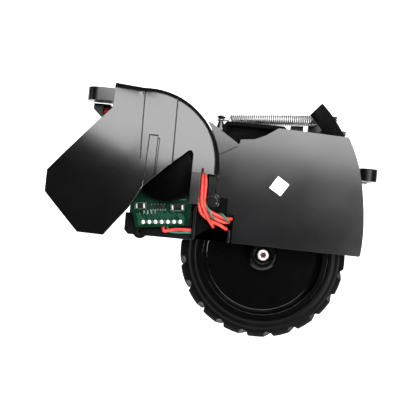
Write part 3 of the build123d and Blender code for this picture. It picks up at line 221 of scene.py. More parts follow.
# Painted shade: bronze's hue darkened to near black, for the front bush in the shade round the pin.
BRONZE_PAINTED_SHADE = Finish("bronze_painted_shade", "bush_bronze", (0.05, 0.035, 0.025), 0.4, 1.0, grain=0.12, relief=0.01)
CARBON = Finish("brush_carbon", "brush_carbon", (0.03, 0.03, 0.03), 0.7)
ACETAL = Finish("gear_acetal", "gear_plastic", (0.78, 0.77, 0.71), 0.4, relief=0.004)
LACQUER = Finish("board_lacquer", "board_green", (0.0008, 0.011, 0.005), 0.25, grain=0.6, relief=0.004,
                 cloud=4, mottle=0.5, shine=0.08)
TRACE = Finish("board_trace", "board_green", (0.012, 0.05, 0.03), 0.25, grain=0.5, relief=0.003, shine=0.2)
INK = Finish("board_ink", "board_green", (0.13, 0.14, 0.135), 0.6, shine=0.1)
SOLDER = Finish("solder", "solder", (0.6, 0.6, 0.58), 0.33, 1.0, grain=0.5, relief=0.01)
CHIP = Finish("chip_body", "component_black", (0.003, 0.003, 0.003), 0.45, shine=0.1)
PAPER = Finish("label_paper", "label_white", (0.74, 0.74, 0.73), 0.65, grain=0.09, relief=0.006, mottle=0.03)
RED_SLEEVE = Finish("red_sleeve", "lead_red", (0.45, 0.028, 0.018), 0.4, grain=0.7, relief=0.006, shine=0.3)
GREEN_SLEEVE = Finish("green_sleeve", "lead_red", (0.008, 0.085, 0.05), 0.4, grain=0.7, relief=0.006,
                      shine=0.3)


def quads(rows: int, columns: int, close_rows: bool, close_columns: bool) -> np.ndarray:
    """Corner numbers of the squares of a grid, wrapping round where asked.

    Args:
        rows: Points along the first direction.
        columns: Points along the second direction.
        close_rows: Whether the last row joins the first.
        close_columns: Whether the last column joins the first.

    Returns:
        An array of four corner numbers a square.
    """
    i = np.arange(rows if close_rows else rows - 1)[:, None]
    j = np.arange(columns if close_columns else columns - 1)[None, :]
    after_i, after_j = (i + 1) % rows, (j + 1) % columns
    corners = [i * columns + j, i * columns + after_j, after_i * columns + after_j, after_i * columns + j]
    return np.stack(np.broadcast_arrays(*corners), axis=-1).reshape(-1, 4)


def surface(name: str, points: np.ndarray, faces: np.ndarray | list) -> bpy.types.Object:
    """Make a smooth mesh piece from places in millimetres from the pivot.

    Args:
        name: The piece's name.
        points: The corners, one a row.
        faces: Corner numbers of each face.

    Returns:
        The piece, with its faces outwards.
    """
    mesh = bpy.data.meshes.new(name)
    mesh.from_pydata(row(points).tolist(), [], [tuple(f) for f in np.asarray(faces, dtype=object).tolist()])
    made = bmesh.new()
    made.from_mesh(mesh)
    bmesh.ops.recalc_face_normals(made, faces=made.faces)
    made.to_mesh(mesh)
    made.free()
    mesh.shade_smooth()
    piece = bpy.data.objects.new(name, mesh)
    bpy.context.scene.collection.objects.link(piece)
    return piece


def square_to(path: np.ndarray, across: Place) -> tuple[np.ndarray, np.ndarray]:
    """Two directions square to a path and to each other, at each of its points.

    The first is `across` less its share along the path, and the second is square to both.

    Args:
        path: The line, one point a row.
        across: A direction that the path never runs along.

    Returns:
        The first and the second directions, one a point.
    """
    along = np.gradient(path, axis=0)
    along /= np.linalg.norm(along, axis=1, keepdims=True)
    side = np.asarray(across, float)
    first = side - (along @ side)[:, None] * along
    first /= np.linalg.norm(first, axis=1, keepdims=True)
    return first, np.cross(along, first)


def tube_rings(path: np.ndarray, radius: float, sides: int, across: Place) -> np.ndarray:
    """Rings of a round tube: at each point of the path, a circle square to the path's direction.

    Args:
        path: The centreline, one point a row.
        radius: The tube's radius.
        sides: Points round each ring.
        across: A direction that the path never runs along.

    Returns:
        An array of rings by sides by 3.
    """
    first, second = square_to(path, across)
    turn = np.linspace(0, 2 * np.pi, sides, endpoint=False)
    circle = first[:, None] * np.cos(turn)[None, :, None] + second[:, None] * np.sin(turn)[None, :, None]
    return path[:, None] + radius * circle


def tube(name: str, wires: list[tuple[np.ndarray, Place]], radius: float, sides: int) -> bpy.types.Object:
    """One piece of one or more round wires, each closed by a flat end.

    Args:
        name: The piece's name.
        wires: Each wire's centreline, with a direction that it never runs along.
        radius: The wire's radius.
        sides: Points round the wire.

    Returns:
        The wires as one piece.
    """
    corners, faces, start = [], [], 0
    for path, across in wires:
        rings = tube_rings(path, radius, sides, across)
        count = len(path)
        faces += (quads(count, sides, False, True) + start).tolist()
        faces.append(list(range(start, start + sides)))
        faces.append(list(range(start + (count - 1) * sides, start + count * sides)))
        corners.append(rings.reshape(-1, 3))
        start += count * sides
    return surface(name, np.concatenate(corners), faces)


def flowing(points: list[Place], each: int) -> np.ndarray:
    """A smooth line through all the points: between each pair, a cubic that passes through both.

    At each point the line runs parallel to the chord between its two neighbours. At the ends
    the missing neighbour is the last one, mirrored.

    Args:
        points: The places that it passes through.
        each: Steps from one place to the next.

    Returns:
        The line's points.
    """
    p = np.asarray(points, float)
    p = np.vstack([2 * p[0] - p[1], p, 2 * p[-1] - p[-2]])
    t = np.linspace(0, 1, each, endpoint=False)[None, :, None]
    a, b, c, d = (p[k:len(p) - 3 + k, None] for k in range(4))
    line = 0.5 * (2 * b + (c - a) * t + (2 * a - 5 * b + 4 * c - d) * t**2 + (3 * b - a - 3 * c + d) * t**3)
    return np.vstack([line.reshape(-1, 3), p[-2][None]])


@dataclass(frozen=True)
class OutlineFit:
    """Moves, along the rays from the pivot, that fit two outlines to the real part.

    The plate's arc swells by up to `swell` from `swell_start` degrees above the level down to
    its low right corner, and the bracket's far corner draws in by up to `draw`, from
    `draw_start` millimetres from the pivot outwards.
    """

    swell: float = 2.9
    swell_start: float = 8.0
    swell_span: float = 22.6
    swell_power: float = 1.5
    plate_reach: float = 57.0
    plate_lowest: float = -20.0
    plate_rear: float = -12.4
    draw: float = 5.0
    draw_start: float = 62.0
    draw_span: float = 8.0
    bracket_front: float = 27.8
    bracket_lowest: float = 30.0

    def apply(self, node: str, mesh: bpy.types.Mesh) -> None:
        """Move the corners of the plate's or the bracket's mesh, and leave any other as it is.

        Args:
            node: The model's node.
            mesh: Its merged mesh.
        """
        places = np.empty(len(mesh.vertices) * 3)
        mesh.vertices.foreach_get("co", places)
        places = places.reshape(-1, 3) / MM - PIVOT
        x, y, z = places.T
        reach, angle = np.hypot(x, z), np.degrees(np.arctan2(z, x))
        if node == "wheel_fender":
            share = np.clip((self.swell_start - angle) / self.swell_span, 0, 1) ** self.swell_power
            moved = (reach > self.plate_reach) & (angle > self.plate_lowest) & (y < self.plate_rear)
            move = np.where(moved, self.swell * share, 0.0)
        elif node == "frame_bracket":
            share = np.clip((reach - self.draw_start) / self.draw_span, 0, 1)
            moved = (y > self.bracket_front) & (angle > self.bracket_lowest)
            move = np.where(moved, -self.draw * share, 0.0)
        else:
            return
        places[:, 0] += move * x / np.maximum(reach, TINY)
        places[:, 2] += move * z / np.maximum(reach, TINY)
        mesh.vertices.foreach_set("co", row(places).ravel())
        mesh.update()


@dataclass
class MouldedParts:
    """The pieces whose form comes from the model, with their edges eased.

    `eased` gives each outer piece's node, body, finish and the width of its rounding. `plain`
    gives the finish of the inner ones. The painted-shade table gives the depth past which a node's
    faces get a second, darker finish, painted shade for its recesses. Corners closer than
    `merge_distance`, in metres, become one, faces within `flat_angle` degrees are joined, edges
    under `smooth_angle` are shaded smooth and those over `bevel_angle` are rounded.
    """

    eased: list[tuple[str, Body, Finish, float]] = field(default_factory=lambda: [
        ("motor_hood", Body.FRAME, HOOD, 0.22),
        ("frame_bracket", Body.FRAME, FRAME_BLACK, 0.2),
        ("harness_socket", Body.FRAME, FRAME_BLACK, 0.08),
        ("wheel_fender", Body.ARM, ARM_BLACK, 0.16),
        ("gearbox_shell", Body.ARM, ARM_BLACK, 0.18),
        ("gearbox_cover", Body.ARM, ARM_BLACK, 0.2),
        ("encoder_cap", Body.ARM, CAP_BLACK, 0.1),
        ("wheel_hub", Body.WHEEL, HUB_GLOSS, 0.14),
        ("axle_screw", Body.WHEEL, SCREW_STEEL, 0.08),
        ("blank_label", Body.ARM, PAPER, 0.03),
        ("board_components", Body.ARM, CHIP, 0.08),
        ("encoder_board", Body.ARM, LACQUER, 0.06),
        ("frame_screws", Body.FRAME, SCREW_STEEL, 0.2),
        ("pivot_pin_front", Body.FRAME, BLACKENED, 0.15),
        ("pivot_shaft_rear", Body.FRAME, BRIGHT_STEEL, 0.15),
    ])
    plain: dict[str, Finish] = field(default_factory=lambda: {
        "shaft_clip": BRIGHT_STEEL, "wheel_axle": BRIGHT_STEEL, "motor_shaft": BRIGHT_STEEL,
        "first_gear_pin": BRIGHT_STEEL, "third_gear_pin": BRIGHT_STEEL, "axle_bearing": BRIGHT_STEEL,
        "gearbox_screws": SCREW_STEEL, "fender_screws": SCREW_STEEL, "motor_screws": SCREW_STEEL,
        "motor_can": CAN_STEEL, "armature": IRON, "motor_magnets": FERRITE, "encoder_magnet": FERRITE,
        "commutator": BRASS, "motor_terminals": BRASS, "motor_pinion": BRASS,
        "axle_bush": BRONZE, "pivot_bush_front": BRONZE_PAINTED_SHADE, "pivot_bush_inner": BRONZE,
        "pivot_bush_outer": BRONZE, "motor_brushes": CARBON, "motor_end_bell": CAP_BLACK,
        "first_gear": ACETAL, "second_gear": ACETAL, "third_gear": ACETAL, "output_gear": ACETAL,
        "solder_pads": SOLDER,
    })
    # Faces deeper than the depth get the second finish as painted shade: on the plate's recessed block and
    # wall, and in the screw's socket.
    painted_shade_depths: dict[str, tuple[float, Finish]] = field(default_factory=lambda: {
        "wheel_fender": (-14.35, ARM_PAINTED_SHADE), "axle_screw": (-10.5, SOCKET_SHADE),
    })
    fit: OutlineFit = OutlineFit()
    merge_distance: float = 2e-7
    flat_angle: float = 0.6
    smooth_angle: float = 28.0
    bevel_angle: float = 32.0
    bevel_segments: int = 2

    def build(self) -> None:
        """Ease and dress the outer pieces, and dress the inner ones as they are."""
        for node, body, finish, width in self.eased:
            self.ease(node, body, finish, width)
        for node, finish in self.plain.items():
            finish.dress(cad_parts[node])
            log.info("dressed %s", node)

    def ease(self, node: str, body: Body, finish: Finish, width: float) -> bpy.types.Object:
        """Copy a node's form, merge its triangles and round its edges.

        Args:
            node: The model's node.
            body: The body it rides on.
            finish: Its surface.
            width: How wide the rounding is, in millimetres.

        Returns:
            The piece that stands for the node.
        """
        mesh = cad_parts[node].data.copy()
        work = bmesh.new()
        work.from_mesh(mesh)
        bmesh.ops.remove_doubles(work, verts=work.verts, dist=self.merge_distance)
        flat = math.radians(self.flat_angle)
        bmesh.ops.dissolve_limit(work, angle_limit=flat, verts=work.verts, edges=work.edges)
        for edge in work.edges:
            edge.smooth = edge.calc_face_angle(0.0) < math.radians(self.smooth_angle)
        work.to_mesh(mesh)
        work.free()
        piece = bpy.data.objects.new(f"{node}_form", mesh)
        bpy.context.scene.collection.objects.link(piece)
        mesh.shade_smooth()
        self.fit.apply(node, mesh)
        finish.dress(piece)
        # Painted shade: faces deeper than the limit take the darker second finish.
        if node in self.painted_shade_depths:
            limit, second = self.painted_shade_depths[node]
            mesh.materials.append(second.material())
            depth = np.array([face.center.y for face in mesh.polygons]) / MM
            mesh.polygons.foreach_set("material_index", (depth > limit).astype(np.int32))
        bevel = piece.modifiers.new("eased edges", "BEVEL")
        bevel.width, bevel.segments = width * MM, self.bevel_segments
        bevel.limit_method, bevel.angle_limit = "ANGLE", math.radians(self.bevel_angle)
        bevel.use_clamp_overlap = False
        bevel.harden_normals = True
        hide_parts(node)
        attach(piece, body.value)
        log.info("eased %s", node)
        return piece


@dataclass
class Tyre:
    """The lugged tyre: one closed grid round the axle.

    `side` is half its width, and `tread` and `seat` are half the widths of its flat outside and
    inside. `wall` is the radius up to which the side walls stay smooth. A gap between two lugs is
    centred on the radius `notch_centre`, its width is measured at `notch_level`, and outside it
    the floor climbs by `flank` a millimetre.
    """

    radius: float = 35.0
    bore: float = 27.5
    side: float = 10.5
    tread: float = 6.4
    tread_steps: int = 17
    seat: float = 7.5
    seat_steps: int = 7
    wall: float = 31.2
    lugs: int = 20
    steps_a_lug: int = 52
    first_notch: float = -10.1
    slant: float = 7.65
    notch: float = 1.7
    notch_centre: float = 34.3
    notch_level: float = 31.5
    flank: float = 4.0
    softness: float = 0.1

    def outline(self) -> np.ndarray:
        """The tyre's cross-section, from bead to bead and back inside.

        One side's bead and shallow groove are measured from the bore and the side, and its
        shoulder from the tread's radius and the side. The other side mirrors it.

        Returns:
            The (radius, depth) points.
        """
        bead = [(0, 1.2), (0.35, 0.4), (1.1, 0), (2.1, 0), (2.6, 0.25), (3.1, 0.3), (3.6, 0.05)]
        shoulder = [(3.3, 0), (2.6, 0.12), (1.8, 0.6), (1.0, 1.25), (0.4, 1.8), (0.07, 2.5), (0, 3.4)]
        half = np.array([(self.bore + out, -self.side + up) for out, up in bead]
                        + [(self.radius - out, -self.side + up) for out, up in shoulder])
        across = np.linspace(-self.tread, self.tread, self.tread_steps)
        tread = np.column_stack([np.full(self.tread_steps, self.radius), across])
        back = np.linspace(self.seat, -self.seat, self.seat_steps)
        inner = np.column_stack([np.full(self.seat_steps, self.bore), back])
        return np.vstack([half, tread, half[::-1] * (1, -1), inner])

    def build(self) -> bpy.types.Object:
        """Wrap the cross-section round the axle and press the lug gaps into it.

        Each gap is a round channel of radius `notch`, whose middle runs from the sides to the
        tread's middle at a slant. The surface is the soft minimum of the outline's radius and
        the channel's floor, so the lug's edges are rounded.

        Returns:
            The tyre.
        """
        outline = self.outline()
        radius, depth = outline[:, 0][None, :], outline[:, 1][None, :]
        angle = np.linspace(0, 360, self.lugs * self.steps_a_lug, endpoint=False)[:, None]
        middle = self.first_notch + self.slant * (1 - np.abs(depth) / self.side)
        pitch = 360 / self.lugs
        offset = (angle - middle + pitch / 2) % pitch - pitch / 2
        across = np.abs(np.radians(offset) * self.notch_level)
        channel = self.notch_centre - np.sqrt(np.maximum(self.notch**2 - across**2, 0.0))
        bank = self.notch_centre + self.flank * (across - self.notch)
        floor = np.where(across < self.notch, channel, bank)
        k = self.softness
        worn = -k * np.logaddexp(-radius / k, -floor / k)
        final = np.where(radius > self.wall, worn, radius)
        turn = np.radians(angle)
        x = WHEEL_AXIS[0] + final * np.cos(turn)
        z = WHEEL_AXIS[1] + final * np.sin(turn)
        y = np.broadcast_to(depth, x.shape)
        points = np.stack([x, y, z], axis=-1)
        piece = surface("tyre_lugged", points.reshape(-1, 3), quads(*x.shape, True, True))
        TYRE_RUBBER.dress(piece)
        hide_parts("tyre")
        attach(piece, Body.WHEEL.value)
        log.info("built %s", piece.name)
        return piece


@dataclass
class TensionSpring:
    """The close-wound spring from the arm's hook to the frame's post.

    `body` is where the coil starts and ends along X. `eye` is the radius of the ring at each
    end, which covers `eye_sweep` degrees. `lead` takes the wire from the coil's rim to its
    axis: how far past the coil's end each point lies, and its share of the coil's radius.
    `steep` is a direction that neither end runs along.
    """

    hook: tuple[float, float] = (0.7, 38.2)
    post: tuple[float, float] = (52.5, 43.0)
    depth: float = 21.6
    body: tuple[float, float] = (5.4, 46.4)
    radius: float = 2.375
    wire: float = 0.36
    wire_sides: int = 8
    turns: int = 42
    steps_a_turn: int = 20
    eye: float = 1.72
    eye_sweep: tuple[float, float] = (18.0, 325.0)
    eye_steps: int = 12
    lead: tuple[tuple[float, float], ...] = ((0.2, 1.0), (-0.25, 0.8), (-0.75, 0.3), (-1.2, 0.0))
    lead_steps: int = 6
    steep: Place = (0.03, 0.02, 1.0)

    def build(self) -> bpy.types.Object:
        """Wind the helix and bend an eye at each end.

        A point of the helix is the coil's axis plus a circle of `radius`, turned evenly as it
        goes along. An eye is a circle round its post that runs to the helix's end.

        Returns:
            The spring.
        """
        hook = np.array([self.hook[0], self.depth, self.hook[1]])
        post = np.array([self.post[0], self.depth, self.post[1]])
        along = (post - hook) / np.linalg.norm(post - hook)
        up = np.array([-along[2], 0.0, along[0]])
        side = np.array([0.0, 1.0, 0.0])
        start = (self.body[0] - self.hook[0]) / along[0]
        end = (self.body[1] - self.hook[0]) / along[0]
        t = np.linspace(0, 1, self.turns * self.steps_a_turn + 1)[:, None]
        turn = t * 2 * np.pi * self.turns
        circle = self.radius * (up * np.cos(turn) + side * np.sin(turn))
        coil = hook + along * (start + t * (end - start)) + circle
        near = self.end_wire(hook, along, up, side, start)
        far = self.end_wire(post, -along, up, -side, np.linalg.norm(post - hook) - end)
        wires = [(near, self.steep), (coil, tuple(along)), (far, self.steep)]
        piece = tube("spring_wound", wires, self.wire, self.wire_sides)
        SPRING_STEEL.dress(piece)
        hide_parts("tension_spring")
        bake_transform(piece)
        log.info("built %s", piece.name)
        return piece

    def end_wire(self, middle: np.ndarray, along: np.ndarray, up: np.ndarray, side: np.ndarray,
                 reach: float) -> np.ndarray:
        """The wire of one end: down from the coil's rim to its axis and round the post.

        Args:
            middle: The post's middle.
            along: The direction from the post to the coil.
            up: The direction in which the coil's first turn starts.
            side: The direction square to both.
            reach: From the post to the coil.

        Returns:
            The wire's line, from the coil to the tip of the eye.
        """
        circle = np.radians(np.linspace(*self.eye_sweep, self.eye_steps))
        ring = [middle + self.eye * (along * math.cos(a) + side * math.sin(a)) for a in circle]
        lead = [middle + along * (reach + past) + up * self.radius * share for past, share in self.lead]
        return flowing([*lead, *ring], self.lead_steps)


@dataclass(frozen=True)
class Strand:
    """One wire of the loom.

    `angle` is where it starts round the trunk, in degrees, `node` is the lead that it stands
    for past the pivot, and `tail` is its own route there.
    """

    name: str
    finish: Finish
    radius: float
    angle: float
    node: str
    tail: tuple[Place, ...]


@dataclass
class WireLoom:
    """The wires that come from the ear's socket through the hood and into the arm's block.

    The strands run round the trunk's middle at the distance `spread` and turn `twists` times.
    Below `loose_height` they come together over `loose_length`, each to its own tail.
    """

    spread: float = 1.02
    twists: float = 0.6
    loose_height: float = 17.0
    loose_length: float = 5.0
    blend_start: Place = (-4.6, -19.0, 9.0)
    blend_end: Place = (-4.0, -18.0, -3.0)
    across: Place = (0.15, 1.0, 0.0)
    trunk: tuple[Place, ...] = (
        (-51.4, 7.0, 35.2), (-48.1, 7.0, 35.2), (-44.0, 7.0, 35.4), (-39.0, 5.0, 35.8),
        (-32.0, -1.0, 36.6), (-25.5, -9.0, 36.0), (-19.5, -15.8, 33.6), (-13.5, -19.3, 28.9),
        (-8.4, -20.7, 22.6), (-5.2, -20.4, 15.5),
    )
    strands: tuple[Strand, ...] = (
        Strand("red_middle", RED_SLEEVE, 0.72, 0, "lower_lead", (
            (-4.7, -19.6, 9.5), (-4.6, -19.5, 4.5), (-4.4, -19.3, 0.5), (-4.1, -19.0, -1.8),
            (-3.0, -18.5, -4.0), (-1.6, -17.6, -6.3), (-0.2, -16.5, -8.5), (1.0, -15.0, -10.1),
            (1.5, -13.4, -10.8),
        )),
        Strand("red_right", RED_SLEEVE, 0.72, 90, "upper_lead", (
            (-3.3, -19.5, 9.3), (-3.1, -19.3, 4.5), (-3.25, -19.0, 0.5), (-2.8, -18.6, -2.6),
            (-0.2, -18.1, -4.7), (3.2, -17.4, -5.9), (6.1, -16.8, -6.9), (8.0, -15.9, -6.8),
            (8.7, -14.4, -6.7),
        )),
        Strand("red_low", RED_SLEEVE, 0.72, 180, "upper_lead", (
            (-4.6, -18.1, 9.0), (-4.5, -17.8, 4.5), (-4.4, -17.7, 0.5), (-3.6, -17.5, -3.2),
            (-0.4, -17.3, -6.1), (2.6, -16.8, -7.4), (5.3, -16.0, -8.3), (7.1, -15.1, -8.3),
            (7.9, -14.0, -8.0),
        )),
        Strand("red_left", RED_SLEEVE, 0.72, 225, "lower_lead", (
            (-5.4, -18.8, 9.0), (-5.3, -18.6, 4.5), (-5.3, -18.4, 0.5), (-5.1, -18.1, -2.6),
            (-4.5, -17.6, -4.9), (-2.4, -16.4, -6.9), (1.0, -15.7, -8.6), (3.8, -15.6, -9.5),
            (6.2, -15.0, -10.7), (7.1, -13.9, -11.2),
        )),
        Strand("green", GREEN_SLEEVE, 0.5, 315, "upper_lead", (
            (-3.2, -18.2, 9.3), (-3.0, -18.0, 4.5), (-2.9, -17.8, 0.5), (-2.3, -18.8, -2.4),
            (-1.0, -19.3, -3.7), (0.1, -19.2, -5.8), (1.1, -18.2, -7.2), (2.4, -16.0, -7.0),
            (3.6, -16.2, -5.0), (4.7, -17.9, -5.1), (6.0, -18.3, -6.5), (7.3, -16.6, -7.8),
            (7.8, -14.3, -8.2),
        )),
    )

    def build(self) -> None:
        """Lay every strand out along the trunk and then along its own tail."""
        for strand in self.strands:
            line = read_route(f"{strand.name}_route", [*self.trunk, *strand.tail])
            path = self.laid(line, strand.angle)
            piece = tube(f"loom_{strand.name}", [(path, self.across)], strand.radius, WIRE_SIDES)
            strand.finish.dress(piece)
            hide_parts("frame_loom", strand.node)
            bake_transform(piece)

    def laid(self, line: np.ndarray, angle: float) -> np.ndarray:
        """A strand's own line: the route plus an offset that turns, and that fades out as the tail starts.

        Args:
            line: The route's points.
            angle: Where the strand starts round the trunk, in degrees.

        Returns:
            The strand's points.
        """
        step = np.linalg.norm(np.diff(line, axis=0, prepend=line[:1]), axis=1)
        gone = np.cumsum(step)
        drop = gone[np.argmax(line[:, 2] < self.loose_height)]
        fade = np.clip((drop - gone) / self.loose_length + 1.0, 0.0, 1.0)
        first, second = square_to(line, self.across)
        turn = (math.radians(angle) + gone / gone[-1] * self.twists * 2 * np.pi)[:, None]
        return line + (self.spread * fade)[:, None] * (first * np.cos(turn) + second * np.sin(turn))


def read_route(name: str, points: list[Place] | tuple[Place, ...]) -> np.ndarray:
    """The points of a smooth route, read from a spline that has the given points as its controls.

    Args:
        name: The route's name.
        points: The control points, in millimetres from the pivot.

    Returns:
        The line's points, in millimetres from the pivot.
    """
    curve = bpy.data.curves.new(name, "CURVE")
    curve.dimensions = "3D"
    spline = curve.splines.new("NURBS")
    spline.points.add(len(points) - 1)
    places = np.column_stack([row(points), np.ones(len(points))])
    spline.points.foreach_set("co", places.ravel())
    spline.order_u = ROUTE_ORDER
    spline.use_endpoint_u = True
    spline.resolution_u = ROUTE_STEPS
    holder = bpy.data.objects.new(name, curve)
    bpy.context.scene.collection.objects.link(holder)
    bpy.context.view_layer.update()
    mesh = bpy.data.meshes.new_from_object(holder.evaluated_get(bpy.context.evaluated_depsgraph_get()))
    line = np.empty(len(mesh.vertices) * 3)
    mesh.vertices.foreach_get("co", line)
    bpy.data.objects.remove(holder)
    bpy.data.meshes.remove(mesh)
    bpy.data.curves.remove(curve)
    return line.reshape(-1, 3) / MM - PIVOT


@dataclass
class BoardLeads:
    """The two short wires along the board's lower edge, the red one in front of the green one."""

    red_radius: float = 0.68
    red: tuple[Place, ...] = (
        (-19.3, -16.3, -11.7), (-19.2, -16.3, -13.0), (-18.6, -16.3, -14.3), (-17.3, -16.2, -14.1),
        (-15.6, -16.1, -13.3), (-13.0, -16.1, -12.9), (-10.2, -16.1, -12.8), (-7.3, -16.1, -13.0),
    )
    green_radius: float = 0.5
    green: tuple[Place, ...] = (
        (-17.6, -16.0, -11.6), (-17.4, -15.9, -13.2), (-16.8, -15.8, -14.1), (-15.2, -15.7, -14.4),
        (-13.0, -15.7, -14.3), (-10.8, -15.7, -14.1), (-9.0, -15.8, -14.0), (-7.3, -15.9, -14.0),
    )
    across: Place = (0.0, 1.0, 0.0)

    def build(self) -> None:
        """Lay both wires along their routes."""
        wires = (("board_red", self.red, RED_SLEEVE, self.red_radius),
                 ("board_green", self.green, GREEN_SLEEVE, self.green_radius))
        for name, route, finish, radius in wires:
            piece = tube(name, [(read_route(name, route), self.across)], radius, WIRE_SIDES)
            finish.dress(piece)
            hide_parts("board_lead")
            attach(piece, Body.ARM.value)
            log.info("laid %s", name)


@dataclass(frozen=True)
class Chip:
    """A chip: its middle on the board, its length, and the outline printed round it."""

    u: float
    v: float
    length: float
    outline: tuple[float, float]


@dataclass(frozen=True)
class Marks:
    """A row of printed marks: where they start, the run of each along and up, and its width."""

    starts: tuple[float, ...]
    v: float
    run: tuple[float, float]
    width: float


@dataclass
class BoardArtwork:
    """Tracks, printed outlines and parts on the circuit board's front.

    A place on the board is (u, v): u along the pad row from its middle, and v up from the row.
    `track_lift` and `print_lift` are how far the two stand off the board. The tracks of the
    left pads lean by `lean_left` and the others by `lean_right`, and a group of bent tracks
    starts at each end of the board. A part's size is its width along the row, its height up
    the board and how far it stands off. `standoff` keeps a part's back clear of the board's face.
    """

    front: float = -18.6
    tilt: float = 5.8
    middle: tuple[float, float] = (-19.8, -10.5)
    pads: int = 7
    pad_pitch: float = 2.54
    track_lift: float = 0.03
    pad_track: float = 0.22
    side_track: float = 0.16
    edge_track: float = 0.2
    lean_left: float = -1.5
    lean_right: float = -2.6
    group: int = 4
    group_left: float = -9.2
    group_left_pitch: float = 0.55
    group_right: float = 9.0
    group_right_pitch: float = 0.5
    print_lift: float = 0.04
    separator: float = 0.14
    separator_half: float = 0.8
    outline: float = 0.13
    chips: tuple[Chip, ...] = (Chip(-8.6, 6.6, 3.6, (5.0, 2.5)), Chip(6.6, 5.8, 4.6, (5.6, 2.7)))
    marks: tuple[Marks, ...] = (
        Marks(tuple(np.linspace(-4.6, 1.4, 7)), 4.9, (0.3, 0.0), 0.62),
        Marks(tuple(np.linspace(-4.2, 1.0, 5)), 7.1, (0.35, 0.2), 0.35),
        Marks((7.8, 8.7, 9.5), 9.0, (0.4, 0.0), 0.4),
    )
    chip_end: Place = (0.62, 1.75, 1.02)
    chip_end_inset: float = 0.28
    small_parts: tuple[float, ...] = tuple(np.linspace(-7.2, -2.6, 4))
    small_row: float = 4.0
    small_body: Place = (0.5, 0.55, 0.42)
    small_end: Place = (0.5, 0.2, 0.46)
    small_end_offset: float = 0.4
    standoff: float = 0.01

    def place(self, u: float, v: float) -> tuple[float, float]:
        """A place on the board as X and Z, turned by the board's tilt.

        Args:
            u: Along the pad row from its middle.
            v: Up from the row.

        Returns:
            Its X and Z.
        """
        c, s = math.cos(math.radians(self.tilt)), math.sin(math.radians(self.tilt))
        x, z = self.middle
        return (x + u * c - v * s, z + u * s + v * c)

    def strip(self, points: list[tuple[float, float]], width: float,
              lift: float) -> tuple[np.ndarray, list]:
        """A flat strip along a line on the board: two rails half a width to each side, and its thin sides.

        Args:
            points: The line's (u, v) points.
            width: The strip's width.
            lift: How far it stands off the board.

        Returns:
            Its corners and faces.
        """
        line = np.array([self.place(u, v) for u, v in points])
        along = np.gradient(line, axis=0)
        along /= np.linalg.norm(along, axis=1, keepdims=True)
        out = np.column_stack([-along[:, 1], along[:, 0]]) * width / 2
        rails = [line + out, line - out]
        corners = [np.column_stack([rail[:, 0], np.full(len(rail), self.front - depth), rail[:, 1]])
                   for depth in (0.0, lift) for rail in rails]
        grid = np.stack([corners[0], corners[2], corners[3], corners[1]], axis=1)
        faces = quads(len(line), 4, False, True).tolist()
        last = 4 * (len(line) - 1)
        faces += [[0, 1, 2, 3], [last, last + 1, last + 2, last + 3]]
        return grid.reshape(-1, 3), faces

    def join(self, name: str, strips: list[tuple[np.ndarray, list]], finish: Finish) -> bpy.types.Object:
        """Join strips or blocks into one dressed piece on the arm.

        Args:
            name: The piece's name.
            strips: Corners and faces of each.
            finish: The surface.

        Returns:
            The piece.
        """
        corners, faces, start = [], [], 0
        for points, own in strips:
            corners.append(points)
            faces += [[index + start for index in face] for face in own]
            start += len(points)
        piece = surface(name, np.concatenate(corners), faces)
        piece.data.shade_flat()
        finish.dress(piece)
        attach(piece, Body.ARM.value)
        log.info("built %s", name)
        return piece

    def build(self) -> None:
        """Make the tracks, the printing, and the small parts with their metal ends."""
        self.tracks()
        self.printing()
        self.parts()

    def pad_places(self) -> list[float]:
        """Each pad's u."""
        return [(index - (self.pads - 1) / 2) * self.pad_pitch for index in range(self.pads)]

    def tracks(self) -> None:
        """Two leaning tracks from each pad, and a group of bent ones at each end of the board."""
        made = []
        for u in self.pad_places():
            lean = self.lean_left if u < self.pad_pitch / 2 else self.lean_right
            wide = [(u, 1.1), (u, 1.5), (u + lean, 3.6), (u + lean, 4.4)]
            narrow = [(u + 0.9, 1.6), (u + 0.9 + lean * 0.7, 3.4)]
            made.append(self.strip(wide, self.pad_track, self.track_lift))
            made.append(self.strip(narrow, self.side_track, self.track_lift))
        for step in range(self.group):
            u = self.group_left + step * self.group_left_pitch
            left = [(u, -1.6 + step * 0.2), (u - 0.4, 1.4), (u - 1.2, 3.6)]
            made.append(self.strip(left, self.edge_track, self.track_lift))
            u = self.group_right - step * self.group_right_pitch
            right = [(u, -1.4), (u + 0.2, 1.6), (u - 0.8, 3.4)]
            made.append(self.strip(right, self.edge_track, self.track_lift))
        self.join("board_tracks", made, TRACE)

    def printing(self) -> None:
        """A stroke between the pads, an outline round each chip, and rows of plain marks."""
        ink = []
        for u in self.pad_places()[:-1]:
            between = u + self.pad_pitch / 2
            stroke = [(between, -self.separator_half), (between, self.separator_half)]
            ink.append(self.strip(stroke, self.separator, self.print_lift))
        for chip in self.chips:
            a, b = chip.outline[0] / 2, chip.outline[1] / 2
            corners = [(chip.u + i * a, chip.v + j * b) for i, j in ((-1, -1), (1, -1), (1, 1), (-1, 1))]
            ink.append(self.strip([*corners, corners[0]], self.outline, self.print_lift))
        for marks in self.marks:
            for u in marks.starts:
                mark = [(u, marks.v), (u + marks.run[0], marks.v + marks.run[1])]
                ink.append(self.strip(mark, marks.width, self.print_lift))
        self.join("board_print", ink, INK)

    def parts(self) -> None:
        """Metal ends for the chips, and small parts in a row with their own ends."""
        ends, bodies = [], []
        for chip in self.chips:
            for side in (-1, 1):
                u = chip.u + side * (chip.length / 2 - self.chip_end_inset)
                ends.append(self.block(u, chip.v, *self.chip_end))
        for u in self.small_parts:
            bodies.append(self.block(u, self.small_row, *self.small_body))
            for side in (-1, 1):
                ends.append(self.block(u, self.small_row + side * self.small_end_offset, *self.small_end))
        self.join("chip_ends", ends, SOLDER)
        self.join("small_parts", bodies, CHIP)

